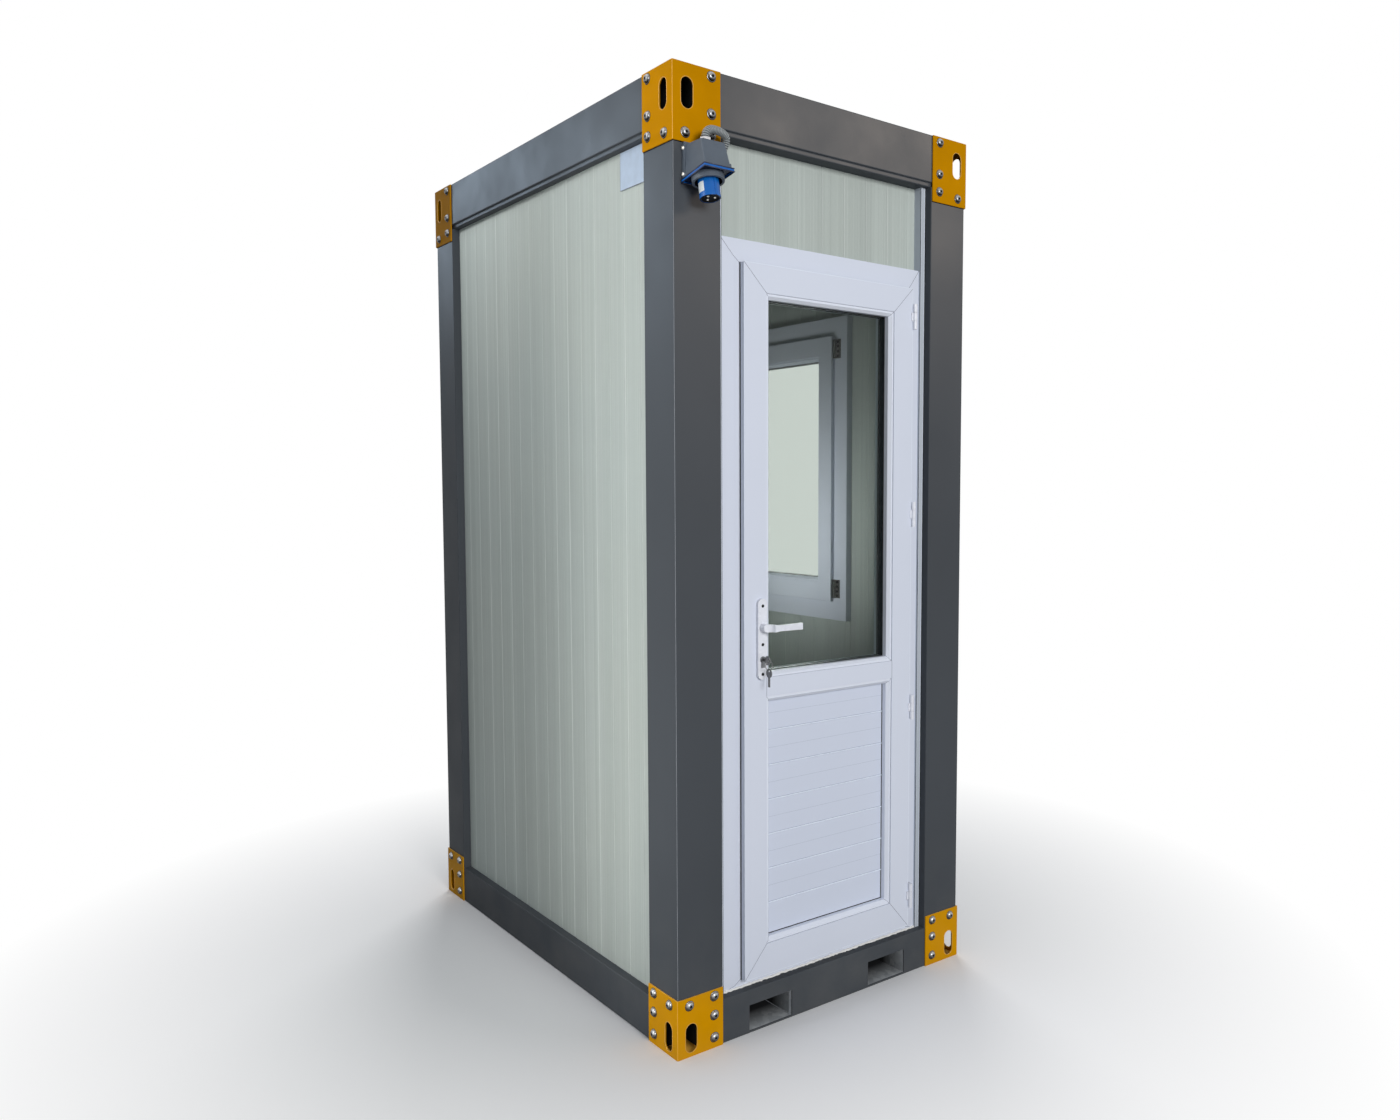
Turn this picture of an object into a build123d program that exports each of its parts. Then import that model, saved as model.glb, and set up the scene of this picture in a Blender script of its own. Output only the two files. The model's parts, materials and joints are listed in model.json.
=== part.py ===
# Security guard booth: a bolted sheet-steel frame with sandwich panel walls, one glazed
# uPVC door, one side window, fork pockets and a power inlet.
# Millimetres, +Z up, the door faces -Y. The origin is on the ground at the footprint's centre.
import os
from math import atan2, cos, degrees, radians, sin

from build123d import *

os.makedirs("parts", exist_ok=True)

# Overall size, over the outer faces of the frame
width = 1000
depth = 1500
height = 2425

# Frame of folded sheet
sheet = 3
bend_radius = 2.8
base_height = 116
roof_height = 144
beam_depth = 110
post_face = 136
roof_rim_width = 36
roof_rim_drop = 18
roof_ledge_width = 24
lip_height = 12
lip_setback = 6

# Wall build-up
panel_recess = 25
panel_thickness = 50
panel_cover_width = 1000
rib_pitch = 80
rib_width = 6
rib_depth = 1.5
seat_gap = 0.3
transom_setback = 25
trim = 1.5

# Corner brackets of plate
bracket_plate = 4
bracket_leg = 138
bracket_top_height = 184
bracket_base_height = 152
bracket_bend = 3.8
slot_width = 35
slot_length = 75
slot_from_corner = 41
top_slot_drop = 32
base_slot_rise = 11

# Floor and roof
joist_width = 50
joist_from_wall = 90
deck_thickness = 18
ceiling_thickness = 60
roof_sheet_thickness = 2
roof_rib_height = 12
roof_rib_width = 44
roof_rib_crown = 24
roof_rib_count = 7

# Fork pockets
fork_from_side = 291
fork_width = 142
fork_height = 69

# Door frame and leaf
jamb_strip = 17.5
transom_height = 234
frame_depth = 70
frame_recess = 26
frame_face_latch = 56.5
frame_face_hinge = 46.5
frame_face_top = 59
frame_face_bottom = 24
frame_slope = 16
frame_rise = 4
lip_overlap = 8
stop_width = 20
stop_depth = 21
moving_gap = 5
latch_gap = 10
leaf_proud = 20
stile_face = 85
bottom_rail_face = 96
mid_rail_bottom = 868
mid_rail_top = 946
bead_width = 14
bead_bevel = 8
bead_setback = 3
glass_unit_thickness = 24
pane_thickness = 4
spacer_width = 10
glazing_edge_gap = 3
rear_lip_depth = 14
board_pitch = 93
board_groove = 4
first_board = 83
spacer_inset = 2

# Door furniture
handle_x_from_edge = 51
handle_z = 1065
plate_width = 30
plate_length = 210
plate_below_handle = 135
plate_depth = 10
neck_radius = 10.5
neck_play = 0.3
neck_start = 1
lever_reach = 102
lever_stand_off = 38
lever_bend = 15
lever_waist = 28
lever_waist_height = 15
lever_tip_height = 17
lever_thickness = 12
lever_tip_thickness = 10
spindle_size = 8
spindle_hole_radius = 8
cylinder_below_handle = 83
cylinder_round = 17
cylinder_tail = 10
cylinder_drop = 16
cylinder_proud = 3

# Door hinges
hinge_length = 71
hinge_count = 4
hinge_from_top = 114
hinge_from_bottom = 55
knuckle_radius = 6
knuckle_sides = 16
hinge_pin_radius = 3.5
hinge_axis_out = 5
hinge_axis_side = 5
hinge_flap = 3
hinge_flap_reach = 11
hinge_play = 0.3
knuckle_gap = 1

# Window in the right wall
window_width = 682
window_bottom = 994
window_below_roof = 306
window_frame_depth = 70
window_frame_face = 75
window_stop_face = 90
sash_overlap = 14
sash_lip = 14
sash_depth = 40
sash_face = 75
sash_side_gap = 4

# Window fittings
sash_hinge_length = 60
sash_hinge_inset = 12
sash_hinge_gap = 1
sash_hinge_flap = 24
rosette_width = 30
rosette_length = 68
rosette_depth = 10
rosette_corner = 5
rosette_from_edge = 31
handle_neck_radius = 8
handle_neck_length = 24
grip_length = 128
grip_width = 18
grip_thickness = 11

# Sign plate on the left wall
sign_width = 145
sign_height = 95
sign_thickness = 3
sign_from_beam = 2
sign_from_post = 6

# Keys
key_thickness = 2
key_blade = 8
key_shank = 5
key_bow_radius = 12
key_hole_radius = 3
key_hole_edge = 5.5
key_wire = 1.8
key_ring_radius = 11
key_length = 36

# Power inlet on the front left post
inlet_from_corner = 24
inlet_below_roof = 131
inlet_width = 78
inlet_height = 82
inlet_clear = 4
inlet_reach = 96
inlet_tilt = 11
inlet_rim_height = 12
inlet_rim_step = 2.5
inlet_corner = 6
inlet_taper = 5
inlet_slope = 22
inlet_back_depth = 12
inlet_back_lift = 3
inlet_back_rise = 6
flange_thickness = 3
flange_proud = 1.5
collar_radius = 39
collar_wall = 6
collar_height = 16
sleeve_radius = 25
sleeve_wall = 3
sleeve_length = 56
sleeve_depth = 40
key_rib = 5
pin_radius = 2.5
pin_circle_radius = 11
pin_length = 34

# Conduit from the inlet into the post
conduit_radius = 10
conduit_sides = 8
conduit_below_bracket = 19
loop_rise = 38
loop_radii = (24, 24, 20, 12)
loop_reach = 72
entry_reach = 60
loop_lean = 14
loop_fall_lean = 21
loop_drop = 20
entry_run = 24
gland_radius = 14
gland_length = 12
gland_shift = -5
gland_from_front = 50
grommet_lip = 3

# Places worked out from the sizes above
corner = panel_recess + panel_thickness
wall_bottom = base_height
wall_top = height - roof_height
wall_height = wall_top - wall_bottom
panel_out_x = width / 2 - panel_recess
panel_in_x = width / 2 - corner
panel_out_y = depth / 2 - panel_recess
panel_in_y = depth / 2 - corner
post_in_x = width / 2 - post_face
post_in_y = depth / 2 - post_face
ledge_z = height - roof_rim_drop
fork_offset = width / 2 - fork_from_side
joist_offset = panel_in_x - joist_from_wall
frame_half = post_in_x - jamb_strip
frame_top = wall_top - transom_height
window_top = wall_top - window_below_roof

# Planes of the front and left beams' sections: x runs in from the outer face, y runs up
front_section = Plane(origin=(0, -depth / 2, 0), x_dir=(0, 1, 0), z_dir=(1, 0, 0))
left_section = Plane(origin=(-width / 2, 0, 0), x_dir=(1, 0, 0), z_dir=(0, -1, 0))


def keep(piece, label):
    """Name a finished piece and write it to its own file."""
    piece.part.label = label
    export_step(piece.part, f"parts/{label}.step")


def folded_section(points, thickness=sheet, side=Side.LEFT, radius=bend_radius):
    """Section of a folded sheet, drawn along its outer face."""
    with BuildLine() as outline:
        FilletPolyline(*points, radius=radius)
        offset(amount=thickness, side=side)
    make_face(outline.edges())


def block(x, y, z, mode=Mode.ADD):
    """A plain block between pairs of X, Y and Z values."""
    with Locations(((x[0] + x[1]) / 2, (y[0] + y[1]) / 2, (z[0] + z[1]) / 2)):
        Box(abs(x[1] - x[0]), abs(y[1] - y[0]), abs(z[1] - z[0]), mode=mode)


def rectangle(u, v, mode=Mode.ADD):
    """A rectangle in a sketch between pairs of values."""
    with Locations(((u[0] + u[1]) / 2, (v[0] + v[1]) / 2)):
        Rectangle(abs(u[1] - u[0]), abs(v[1] - v[0]), mode=mode)


def grown(bounds, amount):
    """The bounds of a rectangle moved out by an amount."""
    (u0, u1), (v0, v1) = bounds
    return (u0 - amount, u1 + amount), (v0 - amount, v1 + amount)


def ring(plane, outer, inner, start, end):
    """A rectangular ring between two distances along a plane's normal."""
    with BuildSketch(plane.offset(start)) as profile:
        rectangle(*outer)
        rectangle(*inner, mode=Mode.SUBTRACT)
    extrude(profile.sketch, amount=end - start)


def slab(plane, bounds, start, end, mode=Mode.ADD):
    """A rectangular slab between two distances along a plane's normal."""
    with BuildSketch(plane.offset(start)) as profile:
        rectangle(*bounds)
    extrude(profile.sketch, amount=end - start, mode=mode)


def front_and_back_pairs(master, name):
    """Write a front left corner piece with its mirror image, and the same pair at the back."""
    with BuildPart() as front_pair:
        add(master.part)
        mirror(about=Plane.YZ)
    keep(front_pair, f"{name}_front")
    with BuildPart() as back_pair:
        mirror(front_pair.part, about=Plane.XZ)
    keep(back_pair, f"{name}_back")


# Base beams: channels open to the inside, the end ones cut for the forks
fork_sill = 2 * sheet
base_section = [(beam_depth, base_height), (0, base_height), (0, 0), (beam_depth, 0)]
notch = panel_in_y - (beam_depth - corner), panel_in_y
with BuildPart() as base_beams_end:
    with BuildSketch(front_section):
        folded_section(base_section)
    extrude(amount=panel_in_x, both=True)
    for x in (-fork_offset, fork_offset):
        block((x - fork_width / 2, x + fork_width / 2), (-depth / 2, -depth / 2 + sheet),
              (fork_sill, fork_sill + fork_height), mode=Mode.SUBTRACT)
    mirror(about=Plane.XZ)
keep(base_beams_end, "base_beams_end")

with BuildPart() as base_beams_side:
    with BuildSketch(left_section):
        folded_section(base_section)
    extrude(amount=panel_in_y, both=True)
    for y in (-1, 1):
        block((-panel_in_x, 0), (y * notch[0], y * notch[1]), (0, base_height), mode=Mode.SUBTRACT)
    mirror(about=Plane.YZ)
keep(base_beams_side, "base_beams_side")

# Roof beams: channels with a stepped lower lip and a raised rim that holds the roof sheet
rim_in = roof_rim_width + roof_ledge_width
roof_section = [
    (rim_in, ledge_z), (roof_rim_width, ledge_z), (roof_rim_width, height), (0, height),
    (0, wall_top + lip_height), (lip_setback, wall_top + lip_height), (lip_setback, wall_top),
    (beam_depth, wall_top)]
with BuildPart() as roof_beams_end:
    with BuildSketch(front_section):
        folded_section(roof_section)
    extrude(amount=panel_in_x, both=True)
    mirror(about=Plane.XZ)
keep(roof_beams_end, "roof_beams_end")

with BuildPart() as roof_beams_side:
    with BuildSketch(left_section):
        folded_section(roof_section)
    extrude(amount=panel_in_y, both=True)
    for y in (-1, 1):
        block((-panel_in_x, 0), (y * notch[0], y * notch[1]), (wall_top, wall_top + sheet),
              mode=Mode.SUBTRACT)
    mirror(about=Plane.YZ)
keep(roof_beams_side, "roof_beams_side")

# Corner posts: folded angles with lips that reach back to the wall panels
with BuildPart() as corner_posts:
    with BuildSketch(Plane.XY.offset(wall_bottom)):
        folded_section(
            [(-post_in_x, -panel_out_y), (-post_in_x, -depth / 2), (-width / 2, -depth / 2),
             (-width / 2, -post_in_y), (-panel_out_x, -post_in_y)], side=Side.RIGHT)
    extrude(amount=wall_height)
    mirror(about=Plane.YZ)
    mirror(about=Plane.XZ)
keep(corner_posts, "corner_posts")


def corner_bracket(bottom, tall, slot_z, cap_z):
    """A bent corner plate with a lifting slot in each leg and a cap over the corner."""
    x, y = -width / 2 - bracket_plate, -depth / 2 - bracket_plate
    with BuildPart() as bracket:
        with BuildSketch(Plane.XY.offset(bottom)):
            folded_section([(x + bracket_leg, y), (x, y), (x, y + bracket_leg)],
                           thickness=bracket_plate, side=Side.RIGHT, radius=bracket_bend)
        extrude(amount=tall)
        block((-width / 2, -panel_in_x), (-depth / 2, -panel_in_y), (cap_z, cap_z + bracket_plate))
        with BuildSketch(Plane.XZ.offset(-y)):
            with Locations((x + slot_from_corner, slot_z)):
                SlotOverall(slot_length, slot_width, rotation=90)
        extrude(amount=-2 * bracket_plate, mode=Mode.SUBTRACT)
        with BuildSketch(Plane.YZ.offset(x)):
            with Locations((y + slot_from_corner, slot_z)):
                SlotOverall(slot_length, slot_width, rotation=90)
        extrude(amount=2 * bracket_plate, mode=Mode.SUBTRACT)
    return bracket


front_and_back_pairs(
    corner_bracket(height - bracket_top_height, bracket_top_height,
                   height - top_slot_drop - slot_length / 2, height - bracket_plate),
    "brackets_top")
front_and_back_pairs(
    corner_bracket(0, bracket_base_height, base_slot_rise + slot_length / 2, 0),
    "brackets_base")

# Fork tunnels: lined pockets that run from the front beam to the back one
with BuildPart() as fork_tunnels:
    for x in (-fork_offset, fork_offset):
        bore = (x - fork_width / 2, x + fork_width / 2), (fork_sill, fork_sill + fork_height)
        ring(Plane.XZ, grown(bore, sheet), bore, sheet - depth / 2, depth / 2 - sheet)
keep(fork_tunnels, "fork_tunnels")

# Floor joists between the front and back beams
with BuildPart() as floor_joists:
    with BuildSketch(Plane.XZ):
        for x in (-joist_offset, 0, joist_offset):
            folded_section(
                [(x + joist_width / 2, base_height), (x - joist_width / 2, base_height),
                 (x - joist_width / 2, 0), (x + joist_width / 2, 0)])
    extrude(amount=depth / 2 - beam_depth, both=True)
keep(floor_joists, "floor_joists")

# Floor deck, notched round the door frame
door_face_y = depth / 2 - frame_recess
door_back_y = door_face_y - frame_depth
with BuildPart() as floor_deck:
    block((-panel_in_x, panel_in_x), (-panel_in_y, panel_in_y),
          (base_height, base_height + deck_thickness))
    block((-frame_half, frame_half), (-panel_in_y, -door_back_y),
          (base_height, base_height + deck_thickness), mode=Mode.SUBTRACT)
keep(floor_deck, "floor_deck")

# Ceiling panel on the roof beams' lower flanges, notched at the corners
with BuildPart() as ceiling_panel:
    low = wall_top + sheet
    reach_x, reach_y = width / 2 - lip_setback - sheet, depth / 2 - lip_setback - sheet
    block((-reach_x, reach_x), (-reach_y, reach_y), (low, low + ceiling_thickness))
    for x in (-1, 1):
        for y in (-1, 1):
            block((x * panel_in_x, x * reach_x), (y * panel_in_y, y * reach_y),
                  (low, low + ceiling_thickness), mode=Mode.SUBTRACT)
keep(ceiling_panel, "ceiling_panel")

# Roof sheet with pressed ribs, resting on the ledge inside the rim
with BuildPart() as roof_sheet:
    reach_x = width / 2 - roof_rim_width - bend_radius - seat_gap
    reach_y = depth / 2 - roof_rim_width - bend_radius - seat_gap
    pitch = 2 * panel_in_x / roof_rib_count
    rib_top = ledge_z + roof_rib_height
    profile = [(-reach_x, ledge_z)]
    for i in range(roof_rib_count):
        x = (i - (roof_rib_count - 1) / 2) * pitch
        profile += [(x - roof_rib_width / 2, ledge_z), (x - roof_rib_crown / 2, rib_top),
                    (x + roof_rib_crown / 2, rib_top), (x + roof_rib_width / 2, ledge_z)]
    profile.append((reach_x, ledge_z))
    with BuildSketch(Plane.XZ):
        with BuildLine():
            Polyline(*profile)
            offset(amount=roof_sheet_thickness, side=Side.LEFT)
        make_face()
    extrude(amount=reach_y, both=True)
    for x in (-1, 1):
        for y in (-1, 1):
            block((x * panel_in_x, x * width / 2), (y * panel_in_y, y * depth / 2),
                  (ledge_z, height), mode=Mode.SUBTRACT)
keep(roof_sheet, "roof_sheet")


# Wall panels: each plane's x runs along the wall and its y points out of the booth
wall_planes = {
    "left": Plane(origin=(0, 0, 0), x_dir=(0, 1, 0), z_dir=(0, 0, 1)),
    "right": Plane(origin=(0, 0, 0), x_dir=(0, -1, 0), z_dir=(0, 0, 1)),
    "back": Plane.XY,
}
wall_z = (wall_bottom, wall_top)


def wall_panel(label, wall, outer_face, span, z, rib_origin):
    """A sandwich panel with shallow ribs at one pitch, half a rib at its joints."""
    rib_count = int(depth // rib_pitch)
    with BuildPart() as panel:
        with BuildSketch(wall_planes[wall].offset(z[0])):
            rectangle(span, (outer_face - panel_thickness, outer_face))
            for i in range(-rib_count, rib_count + 1):
                rib = rib_origin + i * rib_pitch
                if span[0] <= rib <= span[1]:
                    rectangle((rib - rib_width / 2, rib + rib_width / 2),
                              (outer_face - rib_depth, outer_face), mode=Mode.SUBTRACT)
        extrude(amount=z[1] - z[0])
    keep(panel, label)


# Left wall: one full panel from behind the front strip, and the remainder
left_joint = -panel_in_y + panel_cover_width
wall_panel("left_wall_panel_front", "left", panel_out_x, (-panel_in_y, left_joint), wall_z, left_joint)
wall_panel("left_wall_panel_back", "left", panel_out_x, (left_joint, panel_in_y), wall_z, left_joint)

# Right wall: a strip each side of the window, and panels under and over it
half_window = window_width / 2
wall_panel("right_wall_panel_front", "right", panel_out_x, (half_window, panel_in_y), wall_z, half_window)
wall_panel("right_wall_panel_back", "right", panel_out_x, (-panel_in_y, -half_window), wall_z, -half_window)
wall_panel("right_wall_panel_below_window", "right", panel_out_x, (-half_window, half_window),
           (wall_bottom, window_bottom), 0)
wall_panel("right_wall_panel_above_window", "right", panel_out_x, (-half_window, half_window),
           (window_top, wall_top), 0)

# Back wall across the ends of the side walls
wall_panel("back_wall_panel", "back", panel_out_y, (-panel_out_x, panel_out_x), wall_z, 0)

# Front wall: a strip each side of the door, capped by a trim, and the transom panel
strip_edge = frame_half + trim
with BuildPart() as front_wall_strips:
    block((-panel_out_x, -strip_edge), (-panel_out_y, -panel_in_y), wall_z)
    mirror(about=Plane.YZ)
keep(front_wall_strips, "front_wall_strips")

with BuildPart() as door_jamb_trims:
    block((-strip_edge, -frame_half), (-panel_out_y - trim, -panel_in_y), wall_z)
    block((seat_gap - post_in_x, -strip_edge), (-panel_out_y - trim, -panel_out_y), wall_z)
    mirror(about=Plane.YZ)
keep(door_jamb_trims, "door_jamb_trims")

with BuildPart() as transom_panel:
    out = panel_out_y - transom_setback
    block((-frame_half, frame_half), (-out, panel_thickness - out), (frame_top, wall_top))
keep(transom_panel, "transom_panel")

# Door: distances out from the booth's middle plane, towards the front
door = Plane.XZ
frame_out = depth / 2 - frame_recess
frame_in = frame_out - frame_depth
leaf_out = frame_out + leaf_proud
lip_in = frame_out + moving_gap
leaf_in = frame_in + stop_depth + moving_gap
door_outer = (-frame_half, frame_half), (base_height, frame_top)
leaf_outer = ((-frame_half + frame_face_latch, frame_half - frame_face_hinge),
              (base_height + frame_face_bottom, frame_top - frame_face_top))
door_opening = grown(leaf_outer, -lip_overlap)
stop_opening = grown(door_opening, -stop_width)
frame_flat = frame_out - frame_rise
hinge_x = leaf_outer[0][1] + hinge_axis_side
hinge_out = leaf_out + hinge_axis_out
knuckle = (hinge_length - 2 * knuckle_gap) / 3
highest = leaf_outer[1][1] - hinge_from_top
lowest = leaf_outer[1][0] + hinge_from_bottom
hinge_levels = [lowest + i * (highest - lowest) / (hinge_count - 1) for i in range(hinge_count)]
frame_knuckle_levels = [level + rise for level in hinge_levels for rise in (0, 2 * (knuckle + knuckle_gap))]
frame_flap = hinge_x - hinge_flap / 2, hinge_x + knuckle_radius
with BuildPart() as door_frame:
    ring(door, door_outer, door_opening, frame_flat, frame_in + stop_depth)
    ring(door, door_outer, stop_opening, frame_in + stop_depth, frame_in)
    with BuildSketch(door.offset(frame_flat)) as slope:
        rectangle(*grown(leaf_outer, frame_slope))
    extrude(slope.sketch, amount=frame_rise, taper=degrees(atan2(frame_slope, frame_rise)))
    slab(door, door_opening, frame_flat, frame_out, mode=Mode.SUBTRACT)
    for low in frame_knuckle_levels:
        slab(door, (frame_flap, (low, low + knuckle)), frame_flat, frame_out, mode=Mode.SUBTRACT)
keep(door_frame, "door_frame")

# Door leaf: an outer lip that covers the frame, and a body inside the frame's opening
(leaf_left, leaf_right), (leaf_bottom, leaf_top) = leaf_outer
leaf_body = ((door_opening[0][0] + latch_gap, door_opening[0][1] - moving_gap),
             (door_opening[1][0] + moving_gap, door_opening[1][1] - moving_gap))
glass_view = (leaf_left + stile_face, leaf_right - stile_face), (mid_rail_top, leaf_top - stile_face)
lower_view = glass_view[0], (leaf_bottom + bottom_rail_face, mid_rail_bottom)
rebate_in = leaf_in + rear_lip_depth
infill_out = rebate_in + glass_unit_thickness
handle_x = leaf_left + handle_x_from_edge
cylinder_z = handle_z - cylinder_below_handle
cylinder_slot = cylinder_z - cylinder_drop


def cylinder_profile(clearance=0.0):
    """The lock cylinder's keyhole-shaped section, grown by a clearance."""
    with Locations((handle_x, cylinder_z)):
        Circle(cylinder_round / 2 + clearance)
    rectangle((handle_x - cylinder_tail / 2 - clearance, handle_x + cylinder_tail / 2 + clearance),
              (cylinder_slot - cylinder_tail / 2 - clearance, cylinder_z))


with BuildPart() as door_leaf_frame:
    slab(door, leaf_outer, leaf_out, lip_in)
    slab(door, leaf_body, lip_in, leaf_in)
    for view in (glass_view, lower_view):
        slab(door, grown(view, bead_width), leaf_out, rebate_in, mode=Mode.SUBTRACT)
        slab(door, view, rebate_in, leaf_in, mode=Mode.SUBTRACT)
    with BuildSketch(door.offset(leaf_out)):
        with Locations((handle_x, handle_z)):
            Circle(spindle_hole_radius)
        cylinder_profile(seat_gap)
    extrude(amount=leaf_in - leaf_out, mode=Mode.SUBTRACT)
keep(door_leaf_frame, "door_leaf_frame")


def glazing(plane, view, inner_face):
    """Two panes of a sealed unit that sits in a rebate behind its beads."""
    pane_bounds = grown(view, bead_width - glazing_edge_gap)
    slab(plane, pane_bounds, inner_face, inner_face + pane_thickness)
    outer_face = inner_face + glass_unit_thickness
    slab(plane, pane_bounds, outer_face - pane_thickness, outer_face)


def spacer(plane, view, inner_face):
    """The spacer bar between the panes of a sealed unit."""
    outer = grown(view, bead_width - glazing_edge_gap - spacer_inset)
    outer_face = inner_face + glass_unit_thickness
    ring(plane, outer, grown(outer, -spacer_width), inner_face + pane_thickness, outer_face - pane_thickness)


def bead(plane, view, inner_face, outer_face):
    """A glazing bead round an opening, bevelled on the side away from the glass."""
    away = 1 if outer_face > inner_face else -1
    with BuildPart(mode=Mode.PRIVATE) as strip:
        ring(plane, grown(view, bead_width), view, inner_face, outer_face)
        front_face = strip.faces().sort_by(Axis((0, 0, 0), plane.z_dir * away))[-1]
        chamfer(front_face.inner_wires()[0].edges(), length=bead_bevel)
    return strip.part


with BuildPart() as door_glass:
    glazing(door, glass_view, rebate_in)
keep(door_glass, "door_glass")

with BuildPart() as door_glass_spacer:
    spacer(door, glass_view, rebate_in)
keep(door_glass_spacer, "door_glass_spacer")

# Lower panel of seven horizontal boards
with BuildPart() as door_lower_panel:
    panel_bounds = grown(lower_view, bead_width - glazing_edge_gap)
    slab(door, panel_bounds, rebate_in, infill_out)
    board_edge = mid_rail_bottom - first_board
    while board_edge > lower_view[1][0]:
        slab(door, (panel_bounds[0], (board_edge - board_groove / 2, board_edge + board_groove / 2)),
             infill_out, infill_out - board_groove, mode=Mode.SUBTRACT)
        board_edge -= board_pitch
keep(door_lower_panel, "door_lower_panel")

with BuildPart() as door_beads:
    add(bead(door, glass_view, infill_out, leaf_out - bead_setback))
    add(bead(door, lower_view, infill_out, leaf_out - bead_setback))
keep(door_beads, "door_beads")

# Handle plates outside and inside, with the lever's bearing and the cylinder's opening
plate_mid = handle_z - plate_below_handle + plate_length / 2
with BuildPart() as handle_plates:
    for face, grow in ((leaf_out, plate_depth), (leaf_in, -plate_depth)):
        with BuildSketch(door.offset(face)):
            with Locations((handle_x, plate_mid)):
                SlotOverall(plate_length, plate_width, rotation=90)
            with Locations((handle_x, handle_z)):
                Circle(neck_radius + neck_play, mode=Mode.SUBTRACT)
            with BuildSketch(mode=Mode.PRIVATE) as keyway:
                cylinder_profile(seat_gap)
            add(keyway.sketch, mode=Mode.SUBTRACT)
        extrude(amount=grow)
keep(handle_plates, "handle_plates")

# Lock cylinder through both plates
with BuildPart() as lock_cylinder:
    with BuildSketch(door.offset(leaf_out + plate_depth + cylinder_proud)):
        cylinder_profile()
    extrude(amount=leaf_in - leaf_out - 2 * (plate_depth + cylinder_proud))
keep(lock_cylinder, "lock_cylinder")


def lever_hand(face, way):
    """One hand of the lever: the plan of a neck that bends into a grip, cut by its front outline."""
    def out(distance):
        return -(face + way * distance)

    past_plate = plate_depth + neck_start
    with BuildPart(mode=Mode.PRIVATE) as hand:
        with BuildSketch(Plane.XY.offset(handle_z)) as plan:
            with BuildLine() as outline:
                left, right, tip_x = handle_x - neck_radius, handle_x + neck_radius, handle_x + lever_reach
                back = lever_stand_off + lever_thickness
                side = Line((left, out(past_plate)), (left, out(back - 2 * neck_radius)))
                turn = RadiusArc(side @ 1, (right, out(back)), way * 2 * neck_radius)
                outer = Line(turn @ 1, (tip_x, out(lever_stand_off + lever_tip_thickness)))
                tip = Line(outer @ 1, (tip_x, out(lever_stand_off)))
                inner = Line(tip @ 1, (right + lever_bend, out(lever_stand_off)))
                bend = RadiusArc(inner @ 1, (right, out(lever_stand_off - lever_bend)), -way * lever_bend)
                neck = Line(bend @ 1, (right, out(past_plate)))
                Line(neck @ 1, side @ 0)
            make_face(outline.edges())
        extrude(plan.sketch, amount=neck_radius, both=True)
        with BuildSketch(door.offset(face)) as front:
            with BuildLine() as outline:
                waist_x, half_waist = handle_x + lever_waist, lever_waist_height / 2
                tip_x, half_tip = handle_x + lever_reach, lever_tip_height / 2
                top = Polyline((handle_x, handle_z + neck_radius), (waist_x, handle_z + half_waist),
                               (tip_x, handle_z + half_tip))
                low = Polyline((tip_x, handle_z - half_tip), (waist_x, handle_z - half_waist),
                               (handle_x, handle_z - neck_radius))
                Line(top @ 1, low @ 0)
                ThreePointArc(low @ 1, (handle_x - neck_radius, handle_z), top @ 0)
            make_face(outline.edges())
        extrude(front.sketch, amount=way * (lever_stand_off + lever_thickness), mode=Mode.INTERSECT)
        with BuildSketch(door.offset(face + way * neck_start)) as neck_round:
            with Locations((handle_x, handle_z)):
                Circle(neck_radius)
        extrude(neck_round.sketch, amount=way * plate_depth)
    return hand.part


# Lever: a hand outside and one inside, on a square spindle through the leaf
with BuildPart() as lever:
    add(lever_hand(leaf_out, 1))
    add(lever_hand(leaf_in, -1))
    slab(door, ((handle_x - spindle_size / 2, handle_x + spindle_size / 2),
                (handle_z - spindle_size / 2, handle_z + spindle_size / 2)),
         leaf_out + neck_start, leaf_in - neck_start)
keep(lever, "lever")


def hinge_knuckle(low):
    """One knuckle of a door hinge, turned but for its few flat faces."""
    with BuildSketch(Plane.XY.offset(low)) as section:
        with Locations((hinge_x, -hinge_out)):
            RegularPolygon(knuckle_radius, knuckle_sides)
    extrude(section.sketch, amount=knuckle)


# Door hinges: two frame knuckles and a pin, and one leaf knuckle between them, at each level
with BuildPart() as door_hinges_frame:
    for low in frame_knuckle_levels:
        hinge_knuckle(low)
        block(frame_flap, (-hinge_out, -frame_flat), (low, low + knuckle))
    for level in hinge_levels:
        with Locations((hinge_x, -hinge_out, level + hinge_length / 2)):
            Cylinder(hinge_pin_radius, hinge_length)
keep(door_hinges_frame, "door_hinges_frame")

with BuildPart() as door_hinges_leaf:
    for level in hinge_levels:
        low = level + knuckle + knuckle_gap
        block((hinge_x - hinge_flap_reach, hinge_x), (-leaf_out - hinge_flap, -leaf_out),
              (low, low + knuckle))
        hinge_knuckle(low)
        with Locations((hinge_x, -hinge_out, low + knuckle / 2)):
            Cylinder(hinge_pin_radius + hinge_play, knuckle, mode=Mode.SUBTRACT)
keep(door_hinges_leaf, "door_hinges_leaf")

# Side window: distances out from the booth's middle plane, towards the right
window = Plane.YZ
window_out = panel_out_x
window_in = window_out - window_frame_depth
sash_in = window_in - sash_lip
sash_out = window_in + sash_depth
window_outer = (-half_window, half_window), (window_bottom, window_top)
window_opening = grown(window_outer, -window_frame_face)
window_stop = grown(window_outer, -window_stop_face)
with BuildPart() as window_frame:
    ring(window, window_outer, window_opening, window_in, sash_out)
    ring(window, window_outer, window_stop, sash_out, window_out)
keep(window_frame, "window_frame")

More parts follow.
